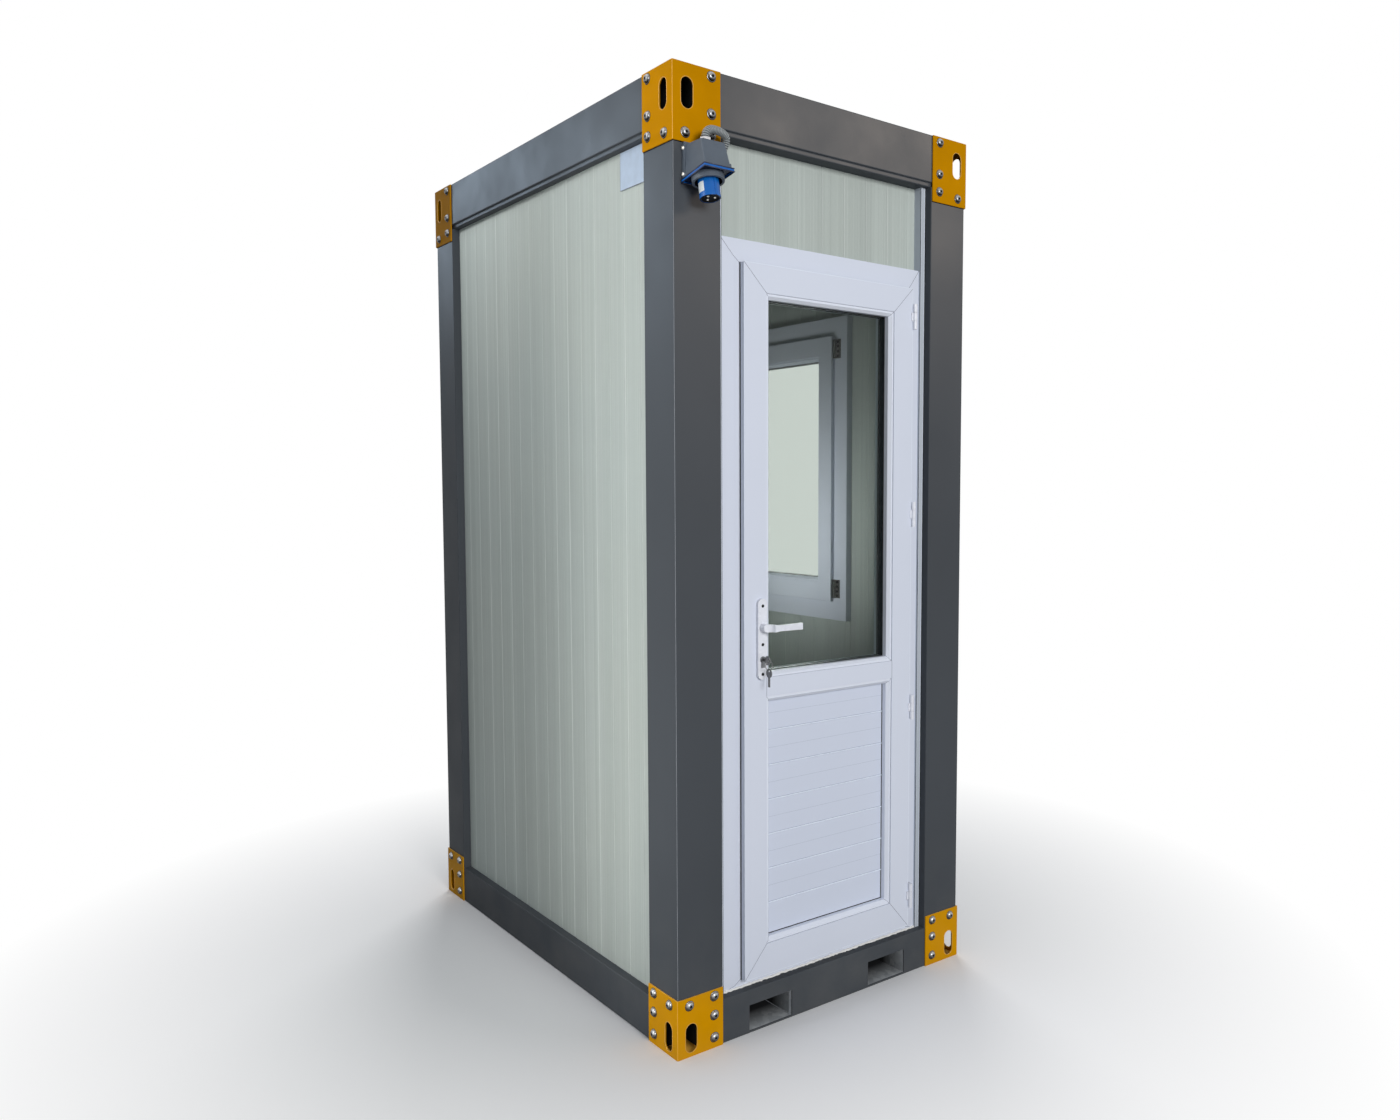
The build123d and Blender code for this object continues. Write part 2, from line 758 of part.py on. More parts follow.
sash_outer = grown(window_opening, sash_overlap)
sash_view = grown(sash_outer, -sash_face)
sash_rebate_out = sash_out - rear_lip_depth
with BuildPart() as window_sash:
    slab(window, sash_outer, sash_in, window_in - seat_gap)
    slab(window, grown(window_opening, -sash_side_gap), window_in - seat_gap, sash_out - seat_gap)
    slab(window, grown(sash_view, bead_width), sash_in, sash_rebate_out, mode=Mode.SUBTRACT)
    slab(window, sash_view, sash_rebate_out, sash_out, mode=Mode.SUBTRACT)
keep(window_sash, "window_sash")

with BuildPart() as window_glass:
    glazing(window, sash_view, sash_rebate_out - glass_unit_thickness)
keep(window_glass, "window_glass")

with BuildPart() as window_glass_spacer:
    spacer(window, sash_view, sash_rebate_out - glass_unit_thickness)
keep(window_glass_spacer, "window_glass_spacer")

with BuildPart() as window_beads:
    add(bead(window, sash_view, sash_rebate_out - glass_unit_thickness, sash_in + bead_setback))
keep(window_beads, "window_beads")

# Window hinges on the frame beside the sash, at the lower and upper corner nearest the door
sash_hinge_y = sash_outer[0][0] - knuckle_radius - sash_hinge_gap
with BuildPart() as window_hinges:
    for level in (sash_outer[1][0] + sash_hinge_inset,
                  sash_outer[1][1] - sash_hinge_inset - sash_hinge_length):
        with Locations((window_in - knuckle_radius, sash_hinge_y, level + sash_hinge_length / 2)):
            Cylinder(knuckle_radius, sash_hinge_length)
        block((window_in - hinge_flap, window_in), (sash_hinge_y - sash_hinge_flap, sash_hinge_y),
              (level, level + sash_hinge_length))
keep(window_hinges, "window_hinges")

# Window handle on the sash's other stile, its grip pointing down
rosette_place = sash_outer[0][1] - rosette_from_edge, (sash_outer[1][0] + sash_outer[1][1]) / 2
grip_place = rosette_place[0], rosette_place[1] - grip_length / 2 + grip_width / 2
neck_face = sash_in - rosette_depth
with BuildPart() as window_handle:
    with BuildSketch(window.offset(sash_in)):
        with Locations(rosette_place):
            RectangleRounded(rosette_width, rosette_length, rosette_corner)
    extrude(amount=-rosette_depth)
    with BuildSketch(window.offset(neck_face)):
        with Locations(rosette_place):
            Circle(handle_neck_radius)
    extrude(amount=-handle_neck_length)
    with BuildSketch(window.offset(neck_face - handle_neck_length)):
        with Locations(grip_place):
            SlotOverall(grip_length, grip_width, rotation=90)
    extrude(amount=-grip_thickness)
keep(window_handle, "window_handle")

# Bare sign plate on the left wall, close under the roof beam and behind the front post
with BuildPart() as sign_plate:
    near = -post_in_y + sign_from_post
    block((-panel_out_x - sign_thickness, -panel_out_x), (near, near + sign_width),
          (wall_top - sign_from_beam - sign_height, wall_top - sign_from_beam))
keep(sign_plate, "sign_plate")

# Keys: one in the lock, its bow on edge, and one that hangs from it on a ring
key_face = leaf_out + plate_depth + cylinder_proud
bow_out = key_face + key_shank + key_bow_radius
hole_out = bow_out + key_bow_radius - key_hole_edge
wire_seat = key_hole_radius - key_wire / 2 - seat_gap
ring_z = cylinder_z - wire_seat - key_ring_radius
hung_hole_z = ring_z - key_ring_radius - wire_seat
hung_bow_z = hung_hole_z - key_bow_radius + key_hole_edge
with BuildPart() as door_keys:
    for bow, hole, shank in (
            ((-bow_out, cylinder_z), (-hole_out, cylinder_z),
             ((-bow_out, -key_face), (cylinder_z - key_blade / 2, cylinder_z + key_blade / 2))),
            ((-hole_out, hung_bow_z), (-hole_out, hung_hole_z),
             ((-hole_out - key_blade / 2, -hole_out + key_blade / 2),
              (hung_bow_z - key_length, hung_bow_z)))):
        with BuildSketch(Plane.YZ.offset(handle_x - key_thickness / 2)) as key:
            with Locations(bow):
                Circle(key_bow_radius)
            rectangle(*shank)
            with Locations(hole):
                Circle(key_hole_radius, mode=Mode.SUBTRACT)
        extrude(key.sketch, amount=key_thickness)
    with BuildSketch(Plane.XZ.offset(hole_out)) as split_ring:
        with Locations((handle_x, ring_z)):
            Circle(key_ring_radius + key_wire / 2)
            Circle(key_ring_radius - key_wire / 2, mode=Mode.SUBTRACT)
    extrude(split_ring.sketch, amount=key_wire / 2, both=True)
keep(door_keys, "door_keys")

# Power inlet: a tapered housing on the front left post, its socket tilted down and out
inlet_left = -width / 2 + inlet_from_corner
inlet_x = inlet_left + inlet_width / 2
inlet_z = wall_top - inlet_below_roof
inlet_top = inlet_z + inlet_height
inlet_back_y = -depth / 2 - inlet_clear
inlet_front_y = inlet_back_y - inlet_reach
inlet_run = inlet_reach / cos(radians(inlet_tilt))
inlet_seat = Plane(
    origin=(inlet_x, (inlet_back_y + inlet_front_y) / 2, inlet_z + inlet_run / 2 * sin(radians(inlet_tilt))),
    x_dir=(1, 0, 0), z_dir=(0, sin(radians(inlet_tilt)), cos(radians(inlet_tilt))))
with BuildPart() as inlet_housing:
    with BuildSketch(inlet_seat):
        RectangleRounded(inlet_width, inlet_run, inlet_corner)
    extrude(amount=inlet_rim_height)
    with BuildSketch(inlet_seat.offset(inlet_rim_height)):
        RectangleRounded(inlet_width - 2 * inlet_rim_step, inlet_run - 2 * inlet_rim_step, inlet_corner)
    with BuildSketch(Plane.XY.offset(inlet_top)):
        top_front_y = inlet_front_y + inlet_slope
        with Locations((inlet_x, (top_front_y + inlet_back_y) / 2)):
            RectangleRounded(inlet_width - 2 * inlet_taper, inlet_back_y - top_front_y, inlet_corner)
    loft(ruled=True)
    block((inlet_left, inlet_left + inlet_width), (-depth / 2 - inlet_back_depth, -depth / 2),
          (inlet_z + inlet_back_lift, inlet_top + inlet_back_rise))
keep(inlet_housing, "inlet_housing")

# Inlet insert: a flange under the housing and the sleeve round the pins
rim = -flange_thickness - sleeve_length
with BuildPart() as inlet_insert:
    with BuildSketch(inlet_seat):
        Rectangle(inlet_width + 2 * flange_proud, inlet_run)
    extrude(amount=-flange_thickness)
    with BuildSketch(inlet_seat.offset(-flange_thickness)):
        Circle(sleeve_radius)
        with Locations((0, -sleeve_radius)):
            Rectangle(key_rib, key_rib)
    extrude(amount=-sleeve_length)
    with BuildSketch(inlet_seat.offset(rim)):
        Circle(sleeve_radius - sleeve_wall)
    extrude(amount=sleeve_depth, mode=Mode.SUBTRACT)
keep(inlet_insert, "inlet_insert")

with BuildPart() as inlet_collar:
    with BuildSketch(inlet_seat.offset(-flange_thickness)):
        Circle(collar_radius)
        Circle(collar_radius - collar_wall, mode=Mode.SUBTRACT)
    extrude(amount=-collar_height)
keep(inlet_collar, "inlet_collar")

with BuildPart() as inlet_pins:
    with BuildSketch(inlet_seat.offset(rim + sleeve_depth)):
        with PolarLocations(pin_circle_radius, 3, start_angle=90):
            Circle(pin_radius)
    extrude(amount=-pin_length)
keep(inlet_pins, "inlet_pins")

# Conduit: out of the housing's top, over in a loop and into the post's face
gland_x = inlet_x + gland_shift
gland_y = inlet_front_y + gland_from_front
entry_x = gland_x + entry_reach
entry_z = height - bracket_top_height - conduit_below_bracket
loop_x = gland_x + loop_reach
loop_top = inlet_top + loop_rise
conduit_points = [
    (gland_x, gland_y, inlet_top + gland_length),
    (gland_x, gland_y, loop_top),
    (loop_x, gland_y + loop_lean, loop_top),
    (loop_x, gland_y + loop_fall_lean, entry_z + loop_drop),
    (entry_x, -depth / 2 - entry_run, entry_z),
    (entry_x, -depth / 2, entry_z)]
with BuildPart() as conduit:
    with BuildLine():
        FilletPolyline(*conduit_points, radius=loop_radii)
    with BuildSketch(Plane(origin=conduit_points[-1], x_dir=(1, 0, 0), z_dir=(0, 1, 0))):
        RegularPolygon(conduit_radius, conduit_sides)
    sweep()
keep(conduit, "conduit")

with BuildPart() as conduit_glands:
    with BuildSketch(Plane.XY.offset(inlet_top)):
        with Locations((gland_x, gland_y)):
            RegularPolygon(gland_radius, 6)
    extrude(amount=gland_length)
    with BuildSketch(Plane.XZ.offset(depth / 2)):
        with Locations((entry_x, entry_z)):
            Circle(conduit_radius + grommet_lip)
            Circle(conduit_radius + seat_gap, mode=Mode.SUBTRACT)
    extrude(amount=grommet_lip)
keep(conduit_glands, "conduit_glands")
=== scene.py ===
# Looks of the security guard booth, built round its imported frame.
# Metres, +Z up, the door faces -Y. Lengths of small details are written in millimetres and scaled by MM.
import json
import random
from math import cos, pi, radians, sin, tan

import bmesh
import bpy
from mathutils import Matrix, Vector


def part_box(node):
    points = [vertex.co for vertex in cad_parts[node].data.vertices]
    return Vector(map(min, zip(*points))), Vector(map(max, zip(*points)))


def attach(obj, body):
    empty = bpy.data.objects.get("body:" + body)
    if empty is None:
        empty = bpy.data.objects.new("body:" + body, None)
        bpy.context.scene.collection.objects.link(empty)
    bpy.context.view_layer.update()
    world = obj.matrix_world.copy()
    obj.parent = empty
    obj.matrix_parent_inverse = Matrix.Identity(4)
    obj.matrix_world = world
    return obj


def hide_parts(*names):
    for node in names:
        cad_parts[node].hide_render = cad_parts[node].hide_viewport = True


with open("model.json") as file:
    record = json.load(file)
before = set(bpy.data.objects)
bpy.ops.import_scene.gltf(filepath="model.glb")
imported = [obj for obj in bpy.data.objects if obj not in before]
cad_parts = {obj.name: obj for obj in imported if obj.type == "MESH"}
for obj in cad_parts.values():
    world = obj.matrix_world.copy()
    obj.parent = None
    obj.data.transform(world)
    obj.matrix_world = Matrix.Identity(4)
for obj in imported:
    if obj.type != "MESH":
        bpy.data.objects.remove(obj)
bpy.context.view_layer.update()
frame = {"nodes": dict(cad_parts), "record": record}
nodes = frame["nodes"]

MM = 0.001
BOOTH, DOOR = "booth", "door"
SIDES = (-1, 1)
CORNERS = [(sx, sy) for sx in SIDES for sy in SIDES]


# Materials: a Principled shader with short calls for the nodes round it

def srgb(red, green, blue):
    """A linear colour from values of 0 to 255."""
    def linear(value):
        value /= 255
        return value / 12.92 if value <= 0.04045 else ((value + 0.055) / 1.055) ** 2.4
    return linear(red), linear(green), linear(blue), 1.0


def times(colour, *shares):
    """A colour times one share, or times a share for each channel."""
    return [min(1, c * share) for c, share in zip(colour, shares if len(shares) > 1 else shares * 3)] + [1]


def connect(tree, value, socket):
    """Links an output to a socket, or sets a plain number or colour on it."""
    if isinstance(value, bpy.types.NodeSocket):
        tree.links.new(value, socket)
    else:
        socket.default_value = value


def maths(tree, operation, *values):
    """The outcome of a sum on outputs or plain numbers."""
    made = tree.nodes.new("ShaderNodeMath")
    made.operation = operation
    for value, socket in zip(values, made.inputs):
        connect(tree, value, socket)
    return made.outputs[0]


def show_mix(tree, share, first, second, output="Material Output"):
    """Shows the first shader where the share is 0 and the second where it is 1."""
    mix = tree.nodes.new("ShaderNodeMixShader")
    for source, socket in zip((share, first.outputs[0], second.outputs[0]), mix.inputs):
        tree.links.new(source, socket)
    tree.links.new(mix.outputs[0], tree.nodes[output].inputs["Surface"])


class Finish:
    """A procedural material in the object's own metres."""

    def __init__(self, name, colour, roughness, metallic=0.0, **sockets):
        self.material = bpy.data.materials.new(name)
        self.material.use_nodes = True
        self.tree = self.material.node_tree
        self.shader = self.tree.nodes["Principled BSDF"]
        self.colour = colour
        values = {"Base Color": colour, "Roughness": roughness, "Metallic": metallic, **sockets}
        for socket, value in values.items():
            self.feed(socket.replace("_", " "), value)
        self.place = self.tree.nodes.new("ShaderNodeTexCoord").outputs["Object"]

    def feed(self, socket, value):
        """Puts an output, or a plain value, into one of the shader's inputs."""
        connect(self.tree, value, self.shader.inputs[socket])

    def node(self, kind, inputs=(), **settings):
        """A node with its settings, and what goes into its inputs by their name or number."""
        made = self.tree.nodes.new(kind)
        for name, value in settings.items():
            setattr(made, name, value)
        for socket, value in dict(inputs).items():
            connect(self.tree, value, made.inputs[socket])
        return made

    def stretched(self, scale):
        return self.node("ShaderNodeMapping", {"Vector": self.place, "Scale": scale}).outputs["Vector"]

    def noise(self, scale, detail=3.0, stretch=(1, 1, 1), roughness=0.5):
        """Noise between 0 and 1; the scale is in features a metre."""
        inputs = {"Vector": self.stretched(stretch), "Scale": scale,
                  "Detail": detail, "Roughness": roughness}
        return self.node("ShaderNodeTexNoise", inputs).outputs["Fac"]

    def cells(self, scale):
        """Small cells, as crystals and pressed meshes have."""
        return self.node("ShaderNodeTexVoronoi", {"Vector": self.place, "Scale": scale})

    def spread(self, value, low, high, to_low=0.0, to_high=1.0):
        """Maps a range of a value to another range."""
        inputs = {"Value": value, "From Min": low, "From Max": high, "To Min": to_low, "To Max": to_high}
        return self.node("ShaderNodeMapRange", inputs).outputs["Result"]

    def blend(self, factor, first, second):
        inputs = {"Factor": factor, 6: first, 7: second}
        return self.node("ShaderNodeMix", inputs, data_type="RGBA").outputs[2]

    def multiply(self, first, second):
        return maths(self.tree, "MULTIPLY", first, second)

    def axis(self, name, of="place"):
        """One coordinate of the place, or of the surface's normal."""
        source = self.place if of == "place" else self.node("ShaderNodeNewGeometry").outputs["Normal"]
        return self.node("ShaderNodeSeparateXYZ", {0: source}).outputs[name]

    def relief_light_and_shade(self):
        """The painted light that a piece's mesh holds: above 0 a painted highlight on ridges, below 0
        painted shade in grooves.
        """
        return self.node("ShaderNodeAttribute", attribute_name=PAINTED_RELIEF_LIGHT).outputs["Fac"]

    def paint(self, colour):
        self.feed("Base Color", colour)

    def roughen(self, scale, detail, low, high, stretch=(1, 1, 1)):
        """Lets the roughness wander between two values."""
        self.feed("Roughness", self.spread(self.noise(scale, detail, stretch), 0.3, 0.7, low, high))

    def bump(self, height, depth):
        """Gives the surface relief of a depth in metres."""
        relief = self.node("ShaderNodeBump", {"Distance": depth, "Height": height})
        self.feed("Normal", relief.outputs["Normal"])

    def mottle(self, amount, scale, stretch=(1, 1, 1)):
        """Lighter and darker patches of the finish's own colour."""
        patches = self.spread(self.noise(scale, stretch=stretch), 0.3, 0.7)
        return self.blend(patches, times(self.colour, 1 - amount), times(self.colour, 1 + amount))

    def dusty(self, colour, reach, strength):
        """Dust that thins out upwards over a reach in metres and lies in patches."""
        low = self.spread(self.axis("Z"), 0.0, reach, strength, 0.0)
        patches = self.spread(self.noise(9, 5), 0.35, 0.75)
        return self.blend(self.multiply(low, patches), colour, DUST)


DUST = srgb(150, 146, 138)
# The name of the mesh value that carries painted highlight and painted shade on ribs and grooves
PAINTED_RELIEF_LIGHT = "rib_shade"


def frame_paint():
    """Dark grey satin powder coat on folded steel."""
    made = Finish("frame_paint", srgb(73, 77, 82), 0.4, Specular_IOR_Level=0.03)
    colour = made.mottle(0.07, 2.2, (1, 1, 0.6))
    scuffs = made.spread(made.noise(34, 8, (1, 1, 3), 0.7), 0.70, 0.76, 0, 0.3)
    colour = made.blend(scuffs, colour, srgb(102, 104, 106))
    made.paint(made.dusty(colour, 0.4, 0.1))
    made.roughen(5, 4, 0.36, 0.48)
    made.bump(made.noise(700, 2), 0.00006)
    return made.material


def bracket_paint(name="bracket_paint", colour=srgb(190, 130, 0)):
    """Orange-yellow paint on thick plate, with a painted highlight that makes the faces turned up paler."""
    made = Finish(name, colour, 0.36, Specular_IOR_Level=0.015)
    colour = made.mottle(0.08, 7)
    chips = made.spread(made.noise(60, 8, roughness=0.75), 0.7, 0.735)
    colour = made.blend(made.multiply(chips, 0.5), colour, srgb(104, 78, 30))
    # Painted highlight: paler where the surface faces up, as if lit from above
    edges = made.spread(made.axis("Z", of="normal"), 0.45, 0.95, 0, 0.55)
    colour = made.blend(edges, colour, srgb(232, 178, 84))
    made.paint(made.dusty(colour, 0.3, 0.05))
    made.bump(made.noise(500, 3), 0.00008)
    return made.material


def coated_skin(name, colour, streak=0.09):
    """Light coated steel skin whose rolling marks run up the wall, with a painted highlight and painted
    shade on its ribs.
    """
    made = Finish(name, colour, 0.34, Specular_IOR_Level=0.03)
    wide = made.mottle(streak, 9, (1, 1, 0.02))
    fine = made.spread(made.noise(110, 2, (1, 1, 0.003)), 0.38, 0.62)
    tone = made.blend(made.multiply(fine, 0.3), wide, times(colour, 0.82))
    cool = made.spread(made.noise(1.3, 2), 0.35, 0.65, 0, 0.35)
    tone = made.blend(cool, tone, times(colour, 0.93, 0.97, 1.02))
    # Painted highlight on the lit side of each rib and painted shade on the other, read from the mesh
    shade = made.relief_light_and_shade()
    tone = made.blend(made.spread(shade, 0, 1), tone, srgb(236, 240, 238))
    tone = made.blend(made.spread(shade, 0, -1), tone, srgb(118, 126, 124))
    made.paint(made.dusty(tone, 0.4, 0.08))
    made.roughen(14, 3, 0.28, 0.42, (1, 1, 0.1))
    made.bump(made.noise(140, 2, (1, 1, 0.01)), 0.0002)
    return made.material


def upvc(name="upvc", colour=srgb(213, 219, 233)):
    """White extruded profile with a cool tint and faint drawing lines."""
    made = Finish(name, colour, 0.3, Specular_IOR_Level=0.35)
    made.paint(made.dusty(made.mottle(0.012, 2), 0.25, 0.07))
    made.roughen(8, 3, 0.29, 0.33)
    made.bump(made.noise(260, 2), 0.00003)
    return made.material


def bead_painted_highlight():
    """A lighter copy of the white plastic for the glazing beads: a painted highlight for the light on their
    bevels.
    """
    made = Finish("bead_painted_highlight", srgb(222, 227, 239), 0.28, Specular_IOR_Level=0.35)
    made.paint(made.mottle(0.015, 5))
    made.bump(made.noise(260, 2), 0.00003)
    return made.material


def glass():
    """Clear float glass with a faint green body and a few smears; it lets the lamps' light through."""
    made = Finish("glass", (0.872, 0.895, 0.878, 1), 0.0, IOR=1.16, Transmission_Weight=1.0)
    made.feed("Roughness", made.spread(made.noise(6, 6), 0.62, 0.85, 0.0, 0.05))
    clear = made.node("ShaderNodeBsdfTransparent", {"Color": (0.85, 0.89, 0.86, 1)})
    path = made.node("ShaderNodeLightPath")
    lit = maths(made.tree, "MAXIMUM", path.outputs["Is Shadow Ray"], path.outputs["Is Diffuse Ray"])
    show_mix(made.tree, lit, made.shader, clear)
    return made.material


def brushed(name, colour, roughness, metallic=1.0):
    """Bare or plated metal with fine wear."""
    made = Finish(name, colour, roughness, metallic)
    made.paint(made.mottle(0.12, 60))
    made.roughen(220, 4, roughness * 0.7, roughness * 1.4)
    made.bump(made.noise(900, 2), 0.00003)
    return made.material


def plated():
    """Zinc-plated bolt heads, with painted shade that darkens their undersides."""
    made = Finish("bolt_metal", srgb(168, 170, 172), 0.24, 0.9)
    # Painted shade on the faces that turn down
    under = made.spread(made.axis("Z", of="normal"), 0.5, -0.55)
    made.paint(made.blend(under, made.mottle(0.2, 300), srgb(34, 33, 32)))
    made.roughen(400, 4, 0.2, 0.36)
    return made.material


# Along Y from the middle: where the painted shade inside a tunnel begins, and where it is darkest
SHADE_STARTS_FROM_MIDDLE, SHADE_FULL_FROM_MIDDLE = 0.744, 0.66


def galvanised(name="galvanised", shaded_inside=False):
    """Zinc coat with its crystal flowers; the tunnels' copy has painted shade, black away from its two ends
    along Y.
    """
    made = Finish(name, srgb(190, 194, 198), 0.42, 0.0 if shaded_inside else 0.2,
                  Specular_IOR_Level=0.08 if shaded_inside else 0.5)
    tone = made.spread(made.cells(70).outputs["Color"], 0.0, 1.0)
    colour = made.blend(tone, srgb(166, 171, 176), srgb(206, 210, 213))
    stain = made.spread(made.noise(12, 5), 0.5, 0.75, 0, 0.4)
    colour = made.blend(stain, colour, srgb(118, 120, 120))
    if shaded_inside:
        # Painted shade inside the tunnel, darker away from its open ends
        from_middle = maths(made.tree, "ABSOLUTE", made.axis("Y"))
        inside_shade = made.spread(from_middle, SHADE_STARTS_FROM_MIDDLE, SHADE_FULL_FROM_MIDDLE, 0.15, 0.97)
        colour = made.blend(inside_shade, colour, srgb(18, 19, 21))
    made.paint(colour)
    made.feed("Roughness", made.spread(tone, 0.0, 1.0, 0.3, 0.52))
    made.bump(made.noise(300, 3), 0.0001)
    return made.material


def moulded(name, colour, roughness, grain=0.00012, **sockets):
    """Moulded plastic with a fine grain."""
    made = Finish(name, colour, roughness, **sockets)
    made.paint(made.mottle(0.05, 45))
    made.roughen(90, 4, roughness * 0.85, roughness * 1.15)
    made.bump(made.noise(1400, 2), grain)
    return made.material


def inlet_blue():
    """Blue moulding, with painted shade that makes it nearly black where it faces the ground."""
    made = Finish("inlet_blue", srgb(10, 92, 172), 0.26, Specular_IOR_Level=0.3)
    # Painted shade on the faces that turn down
    under = made.spread(made.axis("Z", of="normal"), -0.6, -0.92)
    made.paint(made.blend(under, made.mottle(0.05, 45), srgb(8, 20, 44)))
    made.bump(made.noise(1400, 2), 0.00004)
    return made.material


def ridged_plastic():
    """Grey corrugated tube, with painted shade darkening its grooves."""
    made = Finish("conduit_grey", srgb(146, 152, 154), 0.4)
    groove = made.spread(made.relief_light_and_shade(), 0, -1)
    made.paint(made.blend(groove, made.mottle(0.05, 45), srgb(52, 56, 60)))
    made.roughen(90, 4, 0.34, 0.46)
    return made.material


def deck_film():
    """Brown film on plywood with its pressed mesh."""
    made = Finish("deck_film", srgb(96, 66, 46), 0.5)
    made.paint(made.mottle(0.12, 12))
    made.bump(made.cells(260).outputs["Distance"], 0.0004)
    return made.material


MATERIALS = {
    "frame_paint": frame_paint(),
    "bracket_paint": bracket_paint(),
    "galvanised": galvanised(),
    "panel_skin": coated_skin("panel_skin", srgb(181, 189, 184)),
    "panel_inner": coated_skin("panel_inner", srgb(196, 200, 196), 0.02),
    "trim_paint": coated_skin("trim_paint", srgb(184, 191, 200), 0.02),
    "upvc": upvc(),
    "glass": glass(),
    "spacer_bar": brushed("spacer_bar", srgb(64, 70, 76), 0.4, 0.7),
    "handle_paint": moulded("handle_paint", srgb(226, 229, 238), 0.26, 0.00003),
    "lock_metal": brushed("lock_metal", srgb(116, 118, 122), 0.2),
    "key_metal": brushed("key_metal", srgb(112, 112, 112), 0.24),
    "deck_board": deck_film(),
    "sign_white": moulded("sign_white", srgb(182, 198, 218), 0.5, 0.00002, Specular_IOR_Level=0.2),
    "inlet_grey": moulded("inlet_grey", srgb(84, 93, 104), 0.42, Specular_IOR_Level=0.25),
    "inlet_blue": inlet_blue(),
    "pin_metal": brushed("pin_metal", srgb(236, 234, 226), 0.3, 0.3),
    "conduit_grey": ridged_plastic(),
    "gland_grey": moulded("gland_grey", srgb(214, 212, 214), 0.34),
}
BOLT_METAL = plated()
SEAM = moulded("seam", srgb(118, 122, 138), 0.5)
# Painted shadow lines on the door's lower boards
PAINTED_SHADOW_LINE = moulded("painted_shadow_line", srgb(172, 180, 198), 0.4)
# Dark navy painted shade
NAVY_SHADE = moulded("navy_shade", srgb(10, 22, 54), 0.4)
RUBBER = moulded("rubber", srgb(26, 27, 29), 0.55, Specular_IOR_Level=0.15)
SEALANT = moulded("sealant", srgb(236, 236, 234), 0.45, 0.0004)
# Near-black painted shade, for shadow lines, dark holes, sockets, screws and the insides of the corners
PAINTED_SHADE = moulded("painted_shade", srgb(16, 17, 19), 0.6, Specular_IOR_Level=0.1)
# Painted highlight lines on lit edges
PAINTED_HIGHLIGHT = moulded("painted_highlight", srgb(232, 240, 255), 0.3, 0.00002)
# Painted highlight for the bends and edges of steel
STEEL_HIGHLIGHT = moulded("steel_highlight", srgb(146, 151, 158), 0.35, 0.00002)
# Pale bracket edges: part worn paint, part painted highlight
EDGE_WEAR_AND_HIGHLIGHT = moulded("edge_wear_and_highlight", srgb(226, 172, 74), 0.35, 0.00003)
LABEL = moulded("label", srgb(196, 204, 208), 0.4, 0.00002)

# Nodes whose finish differs from the usual one of their slot
BASE_BRACKET_PAINT = bracket_paint("base_bracket_paint", srgb(208, 146, 2))
OWN_FINISHES = {
    "brackets_base_front": BASE_BRACKET_PAINT,
    "brackets_base_back": BASE_BRACKET_PAINT,
    # The beads take the lighter copy of the white, a painted highlight
    "door_beads": bead_painted_highlight(),
    "door_lower_panel": upvc("board_white", srgb(206, 213, 229)),
    # The fork tunnels take painted shade inside
    "fork_tunnels": galvanised("fork_lining", shaded_inside=True),
    "window_hinges": brushed("hinge_metal", srgb(128, 128, 126), 0.35),
}
for row in frame["record"]["subparts"]:
    shown = nodes[row["node"]]
    shown.data.materials.clear()
    shown.data.materials.append(OWN_FINISHES.get(row["node"], MATERIALS[row["material_slot"]]))


# Making pieces

def place_piece(name, mesh, body):
    """Puts a mesh in the scene as a piece that rides on a body."""
    piece = bpy.data.objects.new(name, mesh)
    bpy.context.scene.collection.objects.link(piece)
    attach(piece, body)
    return piece


def piece_from(name, bm, material, body=BOOTH, sharp=35):
    """Turns a bmesh into a piece that rides on a body, smooth but for edges over an angle."""
    mesh = bpy.data.meshes.new(name)
    bmesh.ops.recalc_face_normals(bm, faces=bm.faces)
    bm.normal_update()
    bm.to_mesh(mesh)
    bm.free()
    mesh.shade_smooth()
    mesh.set_sharp_from_angle(angle=radians(sharp))
    mesh.materials.append(material)
    return place_piece(name, mesh, body)


def skin(bm, loops, capped=True):
    """Faces from each closed loop of points to the next, and over the first and the last."""
    for near, far in zip(loops, loops[1:]):
        for i in range(len(near)):
            j = (i + 1) % len(near)
            bm.faces.new((near[i], near[j], far[j], far[i]))
    if capped:
        bm.faces.new(reversed(loops[0]))
        bm.faces.new(loops[-1])


def seat(point, normal, up=(0, 0, 1)):
    """A place on a surface: its own +Z is the surface's normal, its own +Y leans up."""
    z = Vector(normal).normalized()
    x = Vector(up).cross(z).normalized()
    turn = Matrix((x, z.cross(x), z)).transposed().to_4x4()
    return Matrix.Translation(Vector(point)) @ turn


def round_angles(count):
    """Angles that share out a full turn."""
    return [2 * pi * i / count for i in range(count)]


def turned(bm, rings, place, segments=24):
    """Adds a turned shape. A ring is a radius and a height, and may have a number of flat sides."""
    loops = []
    for radius, height, *sides in rings:
        loop = []
        for angle in round_angles(segments):
            reach = radius
            if sides:
                sector = 2 * pi / sides[0]
                reach = radius / cos(angle % sector - sector / 2)
            point = Vector((reach * cos(angle), reach * sin(angle), height)) * MM
            loop.append(bm.verts.new(place @ point))
        loops.append(loop)
    skin(bm, loops)


def turned_piece(name, shapes, material, body=BOOTH, segments=24):
    """One piece of turned shapes, each given by its rings and its place."""
    bm = bmesh.new()
    for rings, place in shapes:
        turned(bm, rings, place, segments)
    return piece_from(name, bm, material, body)


def mesh_of(curve):
    """A mesh in place of a curve, which goes."""
    carrier = bpy.data.objects.new(curve.name, curve)
    mesh = bpy.data.meshes.new_from_object(carrier)
    bpy.data.objects.remove(carrier)
    bpy.data.curves.remove(curve)
    return mesh


